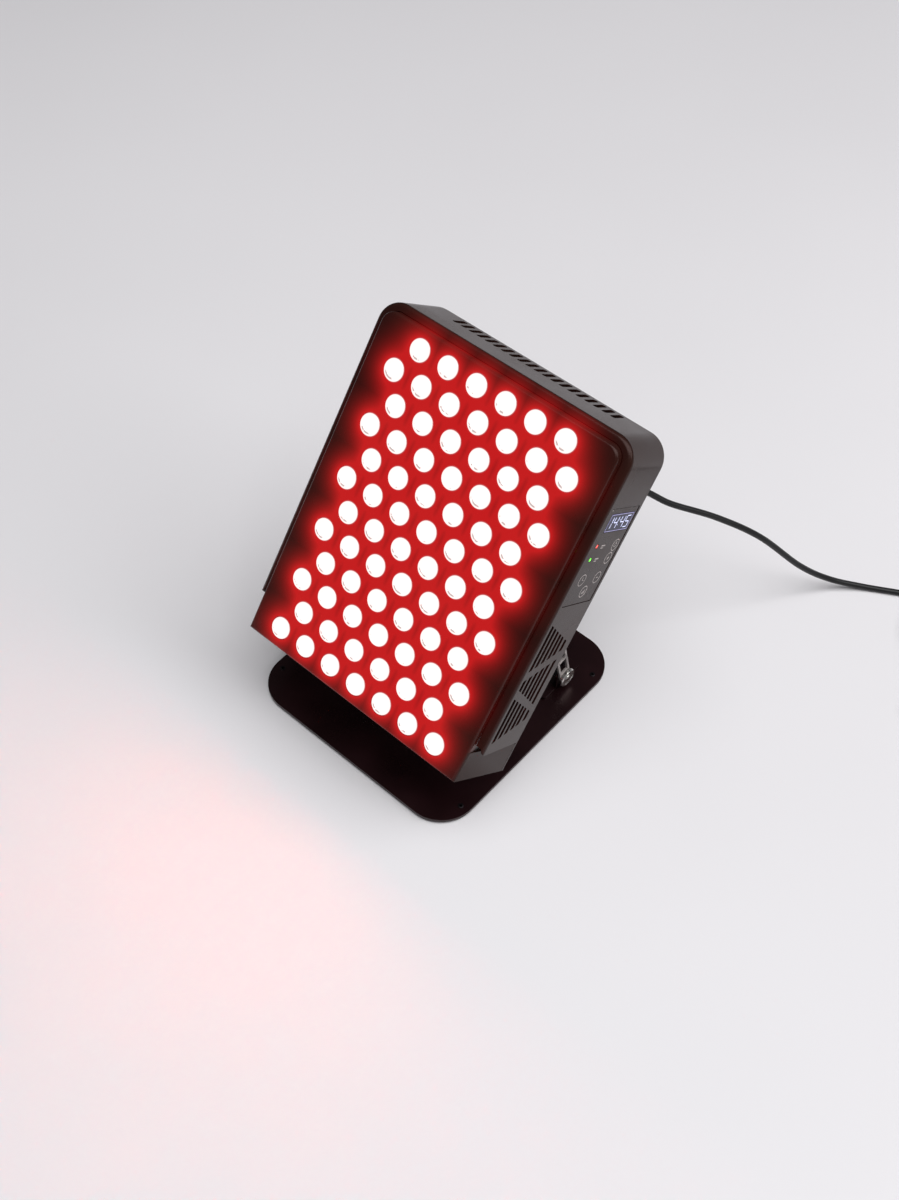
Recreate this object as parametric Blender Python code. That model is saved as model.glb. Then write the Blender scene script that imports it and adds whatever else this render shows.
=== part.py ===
"""Red light therapy panel on a tilting desk stand, as separate pieces at their real size.

X runs across the panel, the lights face -Y, +Z is up, and the table is at Z = 0 under the base plate's
centre. Everything on the panel is measured from the centre of the top row of lights on the face plate:
x across, y into the depth, z up along the face.
"""
import math

import bmesh
import bpy
from mathutils import Matrix, Vector

MM = 0.001
GAP = 0.3 * MM
OVERRUN = 2 * MM

# Pose of the stand
PANEL_LEAN = math.radians(35.6)
ARM_LEAN = math.radians(15.05)
ARM_LENGTH = 119 * MM
PIVOT_FROM_BACK = 49.25 * MM
PIVOT_RISE = 12 * MM

# Light array
LED_PITCH = 25 * MM
ROW_PITCH = 21.13 * MM
ROW_COUNT = 12
LONG_ROW_COUNT = 7
LENS_RADIUS = 8.6 * MM
LENS_TAPER = 0.6 * MM
LENS_PROUD = 0.4 * MM
LENS_LENGTH = 7.5 * MM
CHIP_WIDTH = 5 * MM
CHIP_HEIGHT = 1.9 * MM
LENS_SHEET = 1.2 * MM
BOARD_THICKNESS = 1.6 * MM
BOARD_MARGIN = 9 * MM

# Front case
FACE_SIDE_MARGIN = 25.5 * MM
FACE_TOP_MARGIN = 14 * MM
FACE_BOTTOM_MARGIN = 15.3 * MM
CASE_WALL = 1.5 * MM
CASE_CORNER = 10 * MM
CASE_FRONT_EDGE = 2.2 * MM
CASE_LIP = 6.5 * MM
BODY_DEPTH = 58 * MM

# Outer hood and back cover
HOOD_SIDE_SPACE = 5.5 * MM
HOOD_TOP_SPACE = 4.5 * MM
HOOD_WALL = 2 * MM
HOOD_CORNER = 18 * MM
HOOD_SETBACK = 6.5 * MM
HOOD_SHORTER = 25.7 * MM
HOOD_FRONT_EDGE = 2.6 * MM
RIM_SLIT = 0.5 * MM
COVER_THICKNESS = 2 * MM
HOOD_SCREW_SHARES = (0.06, 0.5, 0.97)
LIP_SCREW_SHARE = 0.7

# Vent slots
SLOT_WIDTH = 4 * MM
SIDE_SLOT_DEPTH_SHARES = (0.253, 0.367, 0.484, 0.603, 0.709, 0.843)
SLOT_FIELD_HEIGHT_SHARES = (
    (0.439, 0.372, 0.289, 0.333),
    (0.258, 0.302, 0.221, 0.149),
    (0.192, 0.126, 0.042, 0.089),
)
TOP_SLOT_COUNT = 20
TOP_SLOT_PITCH = 7.2 * MM
TOP_SLOT_BACK_MARGIN = 3.5 * MM
TOP_SLOT_LENGTH = 17 * MM
VENT_WINDOW_MARGIN = 3 * MM

# Control side
LABEL_FRONT = 12.5 * MM
LABEL_BACK_MARGIN = 2 * MM
LABEL_TOP = -25 * MM
LABEL_BOTTOM = -100.5 * MM
LABEL_RECESS = 1 * MM
LABEL_THICKNESS = 0.6 * MM
DISPLAY_FRONT_MARGIN = 5 * MM
DISPLAY_BACK_MARGIN = 3.5 * MM
DISPLAY_TOP = -29.5 * MM
DISPLAY_BOTTOM = -43 * MM
DISPLAY_FRAME = 1.5 * MM
INDICATOR_RADIUS = 1.5 * MM
INDICATOR_Y = 19 * MM
INDICATOR_HEIGHTS = (-53.8 * MM, -64 * MM)
CONTROL_BOARD_THICKNESS = 1.2 * MM

# Heatsink and driver
HEATSINK_BASE = 3 * MM
FIN_HEIGHT = 12 * MM
FIN_THICKNESS = 1.6 * MM
HEATSINK_TOP_SHORTER = 9 * MM
DRIVER_LEFT = -80 * MM
DRIVER_RIGHT = 40 * MM
DRIVER_TOP = -45 * MM
DRIVER_BOTTOM = -95 * MM
DRIVER_SPACE = 5.5 * MM

# Fans
FAN_SIZE = 80 * MM
FAN_DEPTH = 15 * MM
FAN_RIM = 3 * MM
FAN_MIDDLE_SPACE = 3.5 * MM
FAN_FLOOR_SPACE = 10 * MM
FAN_HOLE_INSET = 4.25 * MM
HUB_RADIUS = 15 * MM
HUB_DEPTH = 10 * MM
MOTOR_MOUNT_DEPTH = 2 * MM
STRUT_WIDTH = 4 * MM
STRUT_COUNT = 3
BLADE_COUNT = 7
BLADE_THICKNESS = 1.2 * MM
BLADE_CHORD = 11 * MM
BLADE_PITCH = math.radians(38)
BLADE_CLEARANCE = 1 * MM
GRILLE_SLOT_COUNT = 8
GRILLE_SLOT_SHARE = 0.42
GRILLE_LENGTH_SHARE = 0.96

# Screws
SCREW_HEAD_RADIUS = 2.8 * MM
SCREW_HEAD_HEIGHT = 1.8 * MM
SCREW_RADIUS = 1.4 * MM
SCREW_CROWN_SHARE = 0.7
SMALL_SEGMENTS = 8
ROUND_SEGMENTS = 24
LIGHT_SEGMENTS = 8

# Power inlet and its connector
INLET_X = 62 * MM
INLET_Z = -50 * MM
INLET_WIDTH = 23 * MM
INLET_HEIGHT = 13 * MM
INLET_DEPTH = 20 * MM
INLET_FLANGE = 3.5 * MM
SOCKET_WALL = 2.5 * MM
PIN_RADIUS = 1.2 * MM
PIN_HALF_SPACING = 4.3 * MM
PIN_STICKOUT = 12 * MM
GRIP_LENGTH = 16 * MM
GRIP_SWELL = 2.2 * MM
BOOT_LENGTH = 32 * MM
BOOT_RADIUS = 5.2 * MM
BOOT_TIP_RADIUS = 3.3 * MM

# Base and hinge lugs
BASE_WIDTH = 200 * MM
BASE_LENGTH = 212.5 * MM
BASE_CORNER = 30 * MM
QUARTER_DEGREES = 90
BASE_THICKNESS = 3 * MM
PAD_HEIGHT = 2 * MM
PAD_RADIUS = 6 * MM
PAD_SIDE_INSET = 7.5 * MM
PAD_END_INSET = 26.3 * MM
PAD_SCREW_RADIUS = 1.6 * MM
PAD_SCREW_HEAD = 2.2 * MM
PAD_SCREW_PROUD = 0.4 * MM
SHEET = 2 * MM
LUG_SIDE_INSET = 20.3 * MM
LUG_RADIUS = 8 * MM
LUG_FOOT_WIDTH = 15 * MM
LUG_FOOT_FRONT = 22 * MM
LUG_FOOT_BACK = 22 * MM
LUG_SCREW_PLACES = (-15 * MM, 15 * MM)

# Arms, knobs and bolts
STRAP_WIDTH = 11.5 * MM
STRAP_BAR = 2 * MM
STRAP_WEB = 2.2 * MM
STRAP_LOWER_END = 9 * MM
STRAP_UPPER_END = 7 * MM
STRAP_WINDOW_COUNT = 5
PIN_HOLE = 3.1 * MM
SHAFT_RADIUS = 2.8 * MM
KNOB_RADIUS = 8 * MM
KNOB_THICKNESS = 2.6 * MM
NUT_RADIUS = 5.4 * MM
NUT_THICKNESS = 4.5 * MM
SHAFT_PAST_NUT = 1.2 * MM
BOLT_HEAD_RADIUS = 5 * MM
BOLT_HEAD_THICKNESS = 3 * MM
TILT_AXIS_BEHIND = 10 * MM
TILT_AXIS_RISE = 121.73 * MM
EAR_FOOT_HALF_LENGTH = 20 * MM
EAR_FOOT_WIDTH = 13 * MM
EAR_SCREW_PLACES = (-14 * MM, 14 * MM)

# Leads
LEAD_RADIUS = 1 * MM
MAINS_LEAD_RADIUS = 1.6 * MM

# Mains cord
CORD_RADIUS = 2.5 * MM
CORD_FLOOR = 2.6 * MM
CORD_STEP = 12 * MM
CORD_ROUTE = (
    (65 * MM, 149 * MM, 144.8 * MM),
    (83 * MM, 168 * MM, 127.5 * MM),
    (109 * MM, 197.6 * MM, 107 * MM),
    (136 * MM, 227 * MM, 80 * MM),
    (163 * MM, 260 * MM, 37 * MM),
    (182 * MM, 284 * MM, 14 * MM),
    (204 * MM, 304 * MM, 4.2 * MM),
)
UPPER_ROUTE_COUNT = 2
CORD_STRAIGHT = 14 * MM
COIL_LEAVES = (231 * MM, 321 * MM)
COIL_HEADING = math.radians(30)
COIL_RUN_IN = 50 * MM
COIL_OUTER = 40 * MM
COIL_PITCH = 5.5 * MM
COIL_HALF_TURN_COUNT = 14.75
COIL_POINT_COUNT = 24
PLUG_BOOT_LENGTH = 26 * MM
PLUG_BOOT_RADIUS = 4 * MM
PLUG_LENGTH = 35 * MM
PLUG_WIDTH = 26 * MM
PLUG_WAIST = 8 * MM
PLUG_PIN_LENGTH = 19 * MM
PLUG_PIN_RADIUS = 2 * MM
PLUG_PIN_HALF_SPACING = 9.5 * MM
PLUG_PIN_SEAT = 8 * MM

# Places that follow from the sizes above
CASE_HALF = (LONG_ROW_COUNT - 1) / 2 * LED_PITCH + FACE_SIDE_MARGIN
CASE_TOP = FACE_TOP_MARGIN
LAST_ROW_Z = -(ROW_COUNT - 1) * ROW_PITCH
CASE_BOTTOM = LAST_ROW_Z - FACE_BOTTOM_MARGIN
HOOD_HALF = CASE_HALF + HOOD_SIDE_SPACE + HOOD_WALL
HOOD_TOP = CASE_TOP + HOOD_TOP_SPACE + HOOD_WALL
HOOD_BOTTOM = CASE_BOTTOM + HOOD_SHORTER
COVER_BACK = BODY_DEPTH + COVER_THICKNESS
LABEL_BACK = BODY_DEPTH - LABEL_BACK_MARGIN
DISPLAY_FRONT = LABEL_FRONT + DISPLAY_FRONT_MARGIN
DISPLAY_BACK = LABEL_BACK - DISPLAY_BACK_MARGIN
TOP_SLOT_START = BODY_DEPTH - TOP_SLOT_BACK_MARGIN - TOP_SLOT_LENGTH
LENS_BACK = LENS_LENGTH - LENS_PROUD
CHIP_FRONT = LENS_BACK + GAP
BOARD_FRONT = CHIP_FRONT + CHIP_HEIGHT
BOARD_BACK = BOARD_FRONT + BOARD_THICKNESS
SINK_FRONT = BOARD_BACK + GAP
SINK_BACK = SINK_FRONT + HEATSINK_BASE
BOARD_HALF = (LONG_ROW_COUNT - 1) / 2 * LED_PITCH + BOARD_MARGIN
FAN_BORE = FAN_SIZE / 2 - FAN_RIM
FAN_HALF_SPACING = FAN_SIZE / 2 + FAN_MIDDLE_SPACE
FAN_BACK = BODY_DEPTH - GAP
FAN_FRONT = FAN_BACK - FAN_DEPTH
DRIVER_DEPTH = FAN_BACK - SINK_BACK - FIN_HEIGHT - DRIVER_SPACE
FAN_Z = CASE_BOTTOM + CASE_WALL + FAN_FLOOR_SPACE + FAN_SIZE / 2
BASE_TOP = PAD_HEIGHT + BASE_THICKNESS
PIVOT_Y = BASE_LENGTH / 2 - PIVOT_FROM_BACK
PIVOT_Z = BASE_TOP + PIVOT_RISE
LUG_OUTER_X = BASE_WIDTH / 2 - LUG_SIDE_INSET
STRAP_INNER_X = LUG_OUTER_X + GAP
STRAP_OUTER_X = STRAP_INNER_X + SHEET
LUG_INNER_X = LUG_OUTER_X - SHEET
TILT_AXIS_Y = COVER_BACK + TILT_AXIS_BEHIND
TILT_AXIS_Z = CASE_BOTTOM + TILT_AXIS_RISE
CABLE_Z = (DRIVER_TOP + DRIVER_BOTTOM) / 2 - INLET_HEIGHT
EAR_SCREW_X = LUG_OUTER_X - EAR_FOOT_WIDTH / 2
LUG_SCREW_X = LUG_OUTER_X - LUG_FOOT_WIDTH / 2 - SHEET / 2
INLET_FACE = COVER_BACK + GAP + SHEET
INLET_BACK = INLET_FACE - INLET_DEPTH


def clear_scene():
    for old in list(bpy.data.objects):
        bpy.data.objects.remove(old, do_unlink=True)


def new_collection(name):
    collection = bpy.data.collections.new(name)
    bpy.context.scene.collection.children.link(collection)
    return collection


clear_scene()
PARTS = new_collection("red_light_therapy_panel")
CUTTERS = new_collection("cutters")
CUTTERS.hide_render = True


def new_material(name, colour, roughness, metallic=0.0):
    material = bpy.data.materials.new(name)
    material.use_nodes = True
    shader = material.node_tree.nodes["Principled BSDF"]
    shader.inputs["Base Color"].default_value = (*colour, 1.0)
    shader.inputs["Roughness"].default_value = roughness
    shader.inputs["Metallic"].default_value = metallic
    return material


def new_axis(name, parent, place, turn_about_x=0.0):
    """An empty that carries what turns about it or is measured from it."""
    axis = bpy.data.objects.new(name, None)
    axis.parent = parent
    axis.location = place
    axis.rotation_euler = (turn_about_x, 0.0, 0.0)
    PARTS.objects.link(axis)
    return axis


def object_from(shape, name, parent, collection):
    mesh = bpy.data.meshes.new(name)
    bmesh.ops.recalc_face_normals(shape, faces=shape.faces)
    shape.to_mesh(mesh)
    shape.free()
    made = bpy.data.objects.new(name, mesh)
    made.parent = parent
    collection.objects.link(made)
    return made


def node(shape, name, parent, colour, roughness, metallic=0.0, smooth=False):
    made = object_from(shape, name, parent, PARTS)
    made.data.materials.append(new_material(name, colour, roughness, metallic))
    if smooth:
        made.data.shade_smooth()
        made.data.set_sharp_from_angle(angle=math.radians(40))
    return made


def cut(target, shape, operation="DIFFERENCE"):
    """Cuts a shape, measured in the target's own frame, from the target, or joins it to the target."""
    cutter = object_from(shape, target.name + "_cutter", target.parent, CUTTERS)
    cutter.hide_render = True
    cutter.display_type = "WIRE"
    step = target.modifiers.new(operation.lower(), "BOOLEAN")
    step.operation = operation
    step.solver = "EXACT"
    step.object = cutter
    return step


def add_box(shape, x, y, z):
    """x, y and z are (low, high)."""
    size = Matrix.Diagonal((x[1] - x[0], y[1] - y[0], z[1] - z[0], 1.0))
    middle = Matrix.Translation((sum(x) / 2, sum(y) / 2, sum(z) / 2))
    return bmesh.ops.create_cube(shape, size=1.0, matrix=middle @ size)["verts"]


def add_round(shape, centre, axis, length, radius, end_radius=None, segments=SMALL_SEGMENTS):
    """A cylinder or cone whose first end has its middle at centre and which runs along axis."""
    axis = Vector(axis).normalized()
    turn = axis.to_track_quat("Z", "Y").to_matrix().to_4x4()
    place = Matrix.Translation(Vector(centre) + axis * length / 2)
    bmesh.ops.create_cone(
        shape,
        cap_ends=True,
        segments=segments,
        radius1=radius,
        radius2=radius if end_radius is None else end_radius,
        depth=length,
        matrix=place @ turn,
    )


def add_screw(shape, seat, axis, length, head=SCREW_HEAD_RADIUS, rise=SCREW_HEAD_HEIGHT, shaft=SCREW_RADIUS):
    """A pan head screw as one turned body: its head stands on seat, and axis points down its shaft."""
    axis = Vector(axis).normalized()
    turn = axis.to_track_quat("Z", "Y").to_matrix().to_4x4()
    crown = [(0.0, -rise), (head * SCREW_CROWN_SHARE, -rise), (head, -rise / 2), (head, 0.0)]
    profile = crown + [(shaft, 0.0), (shaft, length), (0.0, length)]
    rings = []
    for radius, along in profile:
        if radius == 0.0:
            rings.append([shape.verts.new(turn @ Vector((0.0, 0.0, along)) + Vector(seat))])
            continue
        ring = []
        for step in range(SMALL_SEGMENTS):
            angle = math.tau * step / SMALL_SEGMENTS
            point = Vector((radius * math.cos(angle), radius * math.sin(angle), along))
            ring.append(shape.verts.new(turn @ point + Vector(seat)))
        rings.append(ring)
    for first, second in zip(rings, rings[1:]):
        for step in range(SMALL_SEGMENTS):
            corners = [first[step % len(first)], first[(step + 1) % len(first)]]
            corners += [second[(step + 1) % len(second)], second[step % len(second)]]
            shape.faces.new(list(dict.fromkeys(corners)))


def rounded_block(x_half, y, z, top_radius, segments=4):
    """A block across the panel whose two upper corners, seen from the front, are rounded."""
    shape = bmesh.new()
    add_box(shape, (-x_half, x_half), y, z)
    edges = [edge for edge in shape.edges if all(abs(vert.co.z - z[1]) < GAP / 2 for vert in edge.verts)]
    edges = [edge for edge in edges if abs(edge.verts[0].co.x - edge.verts[1].co.x) < GAP / 2]
    bmesh.ops.bevel(
        shape,
        geom=edges,
        offset=top_radius,
        segments=segments,
        profile=0.5,
        affect="EDGES",
    )
    return shape


def soften_front(shape, y_front, width, segments):
    """Rounds the edges of a block that border its front face."""
    edges = [edge for edge in shape.edges if all(abs(vert.co.y - y_front) < GAP / 2 for vert in edge.verts)]
    bmesh.ops.bevel(shape, geom=edges, offset=width, segments=segments, profile=0.5, affect="EDGES")


def light_places():
    """Centres of the lights: a row of six, then a row of seven, by turns."""
    places = []
    for row in range(ROW_COUNT):
        count = LONG_ROW_COUNT - 1 + row % 2
        for column in range(count):
            places.append(((column - (count - 1) / 2) * LED_PITCH, -row * ROW_PITCH))
    return places


def span(side, first, second):
    """(low, high) of two distances from the middle, on the left (side -1) or the right (side 1)."""
    return tuple(sorted((side * first, side * second)))


def span_about(middle, half):
    return (middle - half, middle + half)


def add_plate(shape, outline, x):
    """A flat plate square to X: outline holds its (y, z) corners, and x is (low, high)."""
    corners = [shape.verts.new((x[0], y, z)) for y, z in outline]
    face = shape.faces.new(corners)
    grown = bmesh.ops.extrude_face_region(shape, geom=[face])["geom"]
    moved = [item for item in grown if isinstance(item, bmesh.types.BMVert)]
    bmesh.ops.translate(shape, verts=moved, vec=(x[1] - x[0], 0.0, 0.0))


def arc(centre, radius, start, end, steps):
    """Points of an arc in a plane, from the angle start to the angle end, in degrees."""
    points = []
    for step in range(steps + 1):
        angle = math.radians(start + (end - start) * step / steps)
        points.append((centre[0] + radius * math.cos(angle), centre[1] + radius * math.sin(angle)))
    return points


def hole_cutter(places, axis, length, radius=SCREW_RADIUS + GAP, segments=SMALL_SEGMENTS):
    shape = bmesh.new()
    for place in places:
        add_round(shape, place, axis, length, radius, segments=segments)
    return shape


def back_screw_places():
    """Where screws hold the back cover: on the hood's flanges, and on the case's lower and upper lips."""
    side_x = (CASE_HALF + RIM_SLIT + HOOD_HALF - HOOD_WALL) / 2
    straight = HOOD_TOP - HOOD_CORNER - HOOD_BOTTOM
    heights = [HOOD_BOTTOM + straight * share for share in HOOD_SCREW_SHARES]
    hood = [(side * side_x, height) for side in (-1, 1) for height in heights]
    lip_middle = (CASE_WALL + CASE_LIP) / 2
    lip_x = BOARD_HALF * LIP_SCREW_SHARE
    lip = [(side * lip_x, CASE_BOTTOM + lip_middle) for side in (-1, 1)]
    lip += [(side * lip_x, CASE_TOP - lip_middle) for side in (-1, 1)]
    return hood, lip


def fan_hole_places(side):
    reach = FAN_SIZE / 2 - FAN_HOLE_INSET
    middle = side * FAN_HALF_SPACING
    return [(middle + across * reach, FAN_Z + up * reach) for across in (-1, 1) for up in (-1, 1)]


def slots_box_ends():
    """For each side slot: its middle y, and its lower and upper end."""
    first = SIDE_SLOT_DEPTH_SHARES[0]
    reach = SIDE_SLOT_DEPTH_SHARES[-1] - first
    height = HOOD_TOP - HOOD_BOTTOM
    slots = []
    for top_first, top_last, bottom_first, bottom_last in SLOT_FIELD_HEIGHT_SHARES:
        for depth_share in SIDE_SLOT_DEPTH_SHARES:
            along = (depth_share - first) / reach
            top = HOOD_BOTTOM + height * (top_first + (top_last - top_first) * along)
            bottom = HOOD_BOTTOM + height * (bottom_first + (bottom_last - bottom_first) * along)
            slots.append((BODY_DEPTH * depth_share, bottom, top))
    return slots


def make_front_case(panel):
    case_back = BODY_DEPTH - GAP
    shape = rounded_block(CASE_HALF, (0.0, case_back), (CASE_BOTTOM, CASE_TOP), CASE_CORNER, segments=3)
    soften_front(shape, 0.0, CASE_FRONT_EDGE, 2)
    case = node(shape, "front_case", panel, (0.02, 0.018, 0.018), 0.45)
    inner_half = CASE_HALF - CASE_WALL
    inner_z = (CASE_BOTTOM + CASE_WALL, CASE_TOP - CASE_WALL)
    inner_y = (CASE_WALL, case_back - CASE_WALL)
    cut(case, rounded_block(inner_half, inner_y, inner_z, CASE_CORNER - CASE_WALL, segments=3))
    opening_z = (CASE_BOTTOM + CASE_LIP, CASE_TOP - CASE_LIP)
    opening_y = (case_back - CASE_WALL - OVERRUN, case_back + OVERRUN)
    shape = bmesh.new()
    add_box(shape, (CASE_LIP - CASE_HALF, CASE_HALF - CASE_LIP), opening_y, opening_z)
    cut(case, shape)
    holes = [(x, -OVERRUN, z) for x, z in light_places()]
    cut(case, hole_cutter(holes, (0, 1, 0), CASE_WALL + 2 * OVERRUN, LENS_RADIUS + GAP, LIGHT_SEGMENTS))
    shape = bmesh.new()
    slots = slots_box_ends()
    low = min(bottom for _, bottom, _ in slots) - VENT_WINDOW_MARGIN
    high = max(top for _, _, top in slots) + VENT_WINDOW_MARGIN
    reach = (slots[0][0] - VENT_WINDOW_MARGIN, slots[-1][0] + VENT_WINDOW_MARGIN)
    for side in (-1, 1):
        add_box(shape, span(side, inner_half - OVERRUN, CASE_HALF + OVERRUN), reach, (low, high))
    top_half = (TOP_SLOT_COUNT - 1) / 2 * TOP_SLOT_PITCH + SLOT_WIDTH
    top_y = (TOP_SLOT_START, TOP_SLOT_START + TOP_SLOT_LENGTH)
    add_box(shape, (-top_half, top_half), top_y, (inner_z[1] - OVERRUN, CASE_TOP + OVERRUN))
    cable_y = (LABEL_FRONT + LABEL_BACK) / 2
    cable = (inner_half - OVERRUN, cable_y, CABLE_Z)
    add_round(shape, cable, (1, 0, 0), CASE_WALL + 2 * OVERRUN, LEAD_RADIUS * 2)
    cut(case, shape)
    _, lip = back_screw_places()
    holes = [(x, case_back - CASE_WALL - OVERRUN, z) for x, z in lip]
    cut(case, hole_cutter(holes, (0, 1, 0), CASE_WALL + 2 * OVERRUN))


def make_lights(panel):
    """A clear sheet behind the face plate carries one lens for each light; the chips sit on their board."""
    shape = bmesh.new()
    top = BOARD_MARGIN
    bottom = LAST_ROW_Z - BOARD_MARGIN
    add_box(shape, (-BOARD_HALF, BOARD_HALF), (LENS_BACK - LENS_SHEET, LENS_BACK), (bottom, top))
    lenses = node(shape, "lens_array", panel, (1.0, 0.85, 0.85), 0.1)
    shape = bmesh.new()
    length = LENS_LENGTH - LENS_SHEET / 2
    tip = LENS_RADIUS - LENS_TAPER
    for x, z in light_places():
        place = (x, -LENS_PROUD, z)
        add_round(shape, place, (0, 1, 0), length, tip, LENS_RADIUS, LIGHT_SEGMENTS)
    cut(lenses, shape, "UNION")

    shape = bmesh.new()
    add_box(shape, (-BOARD_HALF, BOARD_HALF), (BOARD_FRONT, BOARD_BACK), (bottom, top))
    board = node(shape, "led_board", panel, (0.85, 0.85, 0.82), 0.5)
    shape = bmesh.new()
    half = CHIP_WIDTH / 2
    for x, z in light_places():
        depth = (CHIP_FRONT, BOARD_FRONT + BOARD_THICKNESS / 2)
        add_box(shape, (x - half, x + half), depth, (z - half, z + half))
    cut(board, shape, "UNION")


def make_heatsink(panel):
    """A base with fins that run up and down, as one extrusion."""
    fins = 2 * LONG_ROW_COUNT
    bottom = LAST_ROW_Z - BOARD_MARGIN
    outline = [(-BOARD_HALF, SINK_FRONT), (-BOARD_HALF, SINK_BACK)]
    for fin in range(fins):
        middle = (fin - (fins - 1) / 2) * LED_PITCH / 2
        left = middle - FIN_THICKNESS / 2
        right = middle + FIN_THICKNESS / 2
        outline += [(left, SINK_BACK), (left, SINK_BACK + FIN_HEIGHT)]
        outline += [(right, SINK_BACK + FIN_HEIGHT), (right, SINK_BACK)]
    outline += [(BOARD_HALF, SINK_BACK), (BOARD_HALF, SINK_FRONT)]
    shape = bmesh.new()
    face = shape.faces.new([shape.verts.new((x, y, bottom)) for x, y in outline])
    grown = bmesh.ops.extrude_face_region(shape, geom=[face])["geom"]
    moved = [item for item in grown if isinstance(item, bmesh.types.BMVert)]
    height = BOARD_MARGIN - HEATSINK_TOP_SHORTER - bottom
    bmesh.ops.translate(shape, verts=moved, vec=(0.0, 0.0, height))
    node(shape, "heatsink", panel, (0.6, 0.6, 0.62), 0.4, 0.9)


def make_outer_hood(panel):
    back = BODY_DEPTH - GAP
    low = HOOD_BOTTOM - OVERRUN
    shape = rounded_block(HOOD_HALF, (HOOD_SETBACK, back), (HOOD_BOTTOM, HOOD_TOP), HOOD_CORNER, segments=6)
    soften_front(shape, HOOD_SETBACK, HOOD_FRONT_EDGE, 2)
    hood = node(shape, "outer_hood", panel, (0.045, 0.038, 0.036), 0.4)
    inner = (HOOD_SETBACK + HOOD_WALL, back - HOOD_WALL)
    inner_half = HOOD_HALF - HOOD_WALL
    inner_top = HOOD_TOP - HOOD_WALL
    inner_corner = HOOD_CORNER - HOOD_WALL
    cut(hood, rounded_block(inner_half, inner, (low, inner_top), inner_corner, segments=6))
    mouth_half = CASE_HALF + RIM_SLIT
    mouth = (HOOD_SETBACK - OVERRUN, back + OVERRUN)
    mouth_top = CASE_TOP + RIM_SLIT
    cut(hood, rounded_block(mouth_half, mouth, (low, mouth_top), CASE_CORNER + RIM_SLIT, segments=3))

    shape = bmesh.new()
    for middle, bottom, top in slots_box_ends():
        reach = (middle - SLOT_WIDTH / 2, middle + SLOT_WIDTH / 2)
        for side in (-1, 1):
            add_box(shape, span(side, inner_half - OVERRUN, HOOD_HALF + OVERRUN), reach, (bottom, top))
    for slot in range(TOP_SLOT_COUNT):
        middle = (slot - (TOP_SLOT_COUNT - 1) / 2) * TOP_SLOT_PITCH
        across = (middle - SLOT_WIDTH / 2, middle + SLOT_WIDTH / 2)
        reach = (TOP_SLOT_START, TOP_SLOT_START + TOP_SLOT_LENGTH)
        add_box(shape, across, reach, (inner_top - OVERRUN, HOOD_TOP + OVERRUN))
    cut(hood, shape)

    shape = bmesh.new()
    reach = (LABEL_FRONT, LABEL_BACK)
    add_box(shape, (HOOD_HALF - LABEL_RECESS, HOOD_HALF + OVERRUN), reach, (LABEL_BOTTOM, LABEL_TOP))
    cut(hood, shape)
    shape = bmesh.new()
    reach = (DISPLAY_FRONT + DISPLAY_FRAME, DISPLAY_BACK - DISPLAY_FRAME)
    height = (DISPLAY_BOTTOM + DISPLAY_FRAME, DISPLAY_TOP - DISPLAY_FRAME)
    add_box(shape, (inner_half - OVERRUN, HOOD_HALF + OVERRUN), reach, height)
    for z in INDICATOR_HEIGHTS:
        start = (inner_half - OVERRUN, INDICATOR_Y, z)
        add_round(shape, start, (1, 0, 0), HOOD_WALL + 2 * OVERRUN, INDICATOR_RADIUS + GAP)
    cut(hood, shape)
    places, _ = back_screw_places()
    holes = [(x, back - HOOD_WALL - OVERRUN, z) for x, z in places]
    cut(hood, hole_cutter(holes, (0, 1, 0), HOOD_WALL + 2 * OVERRUN))


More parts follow.
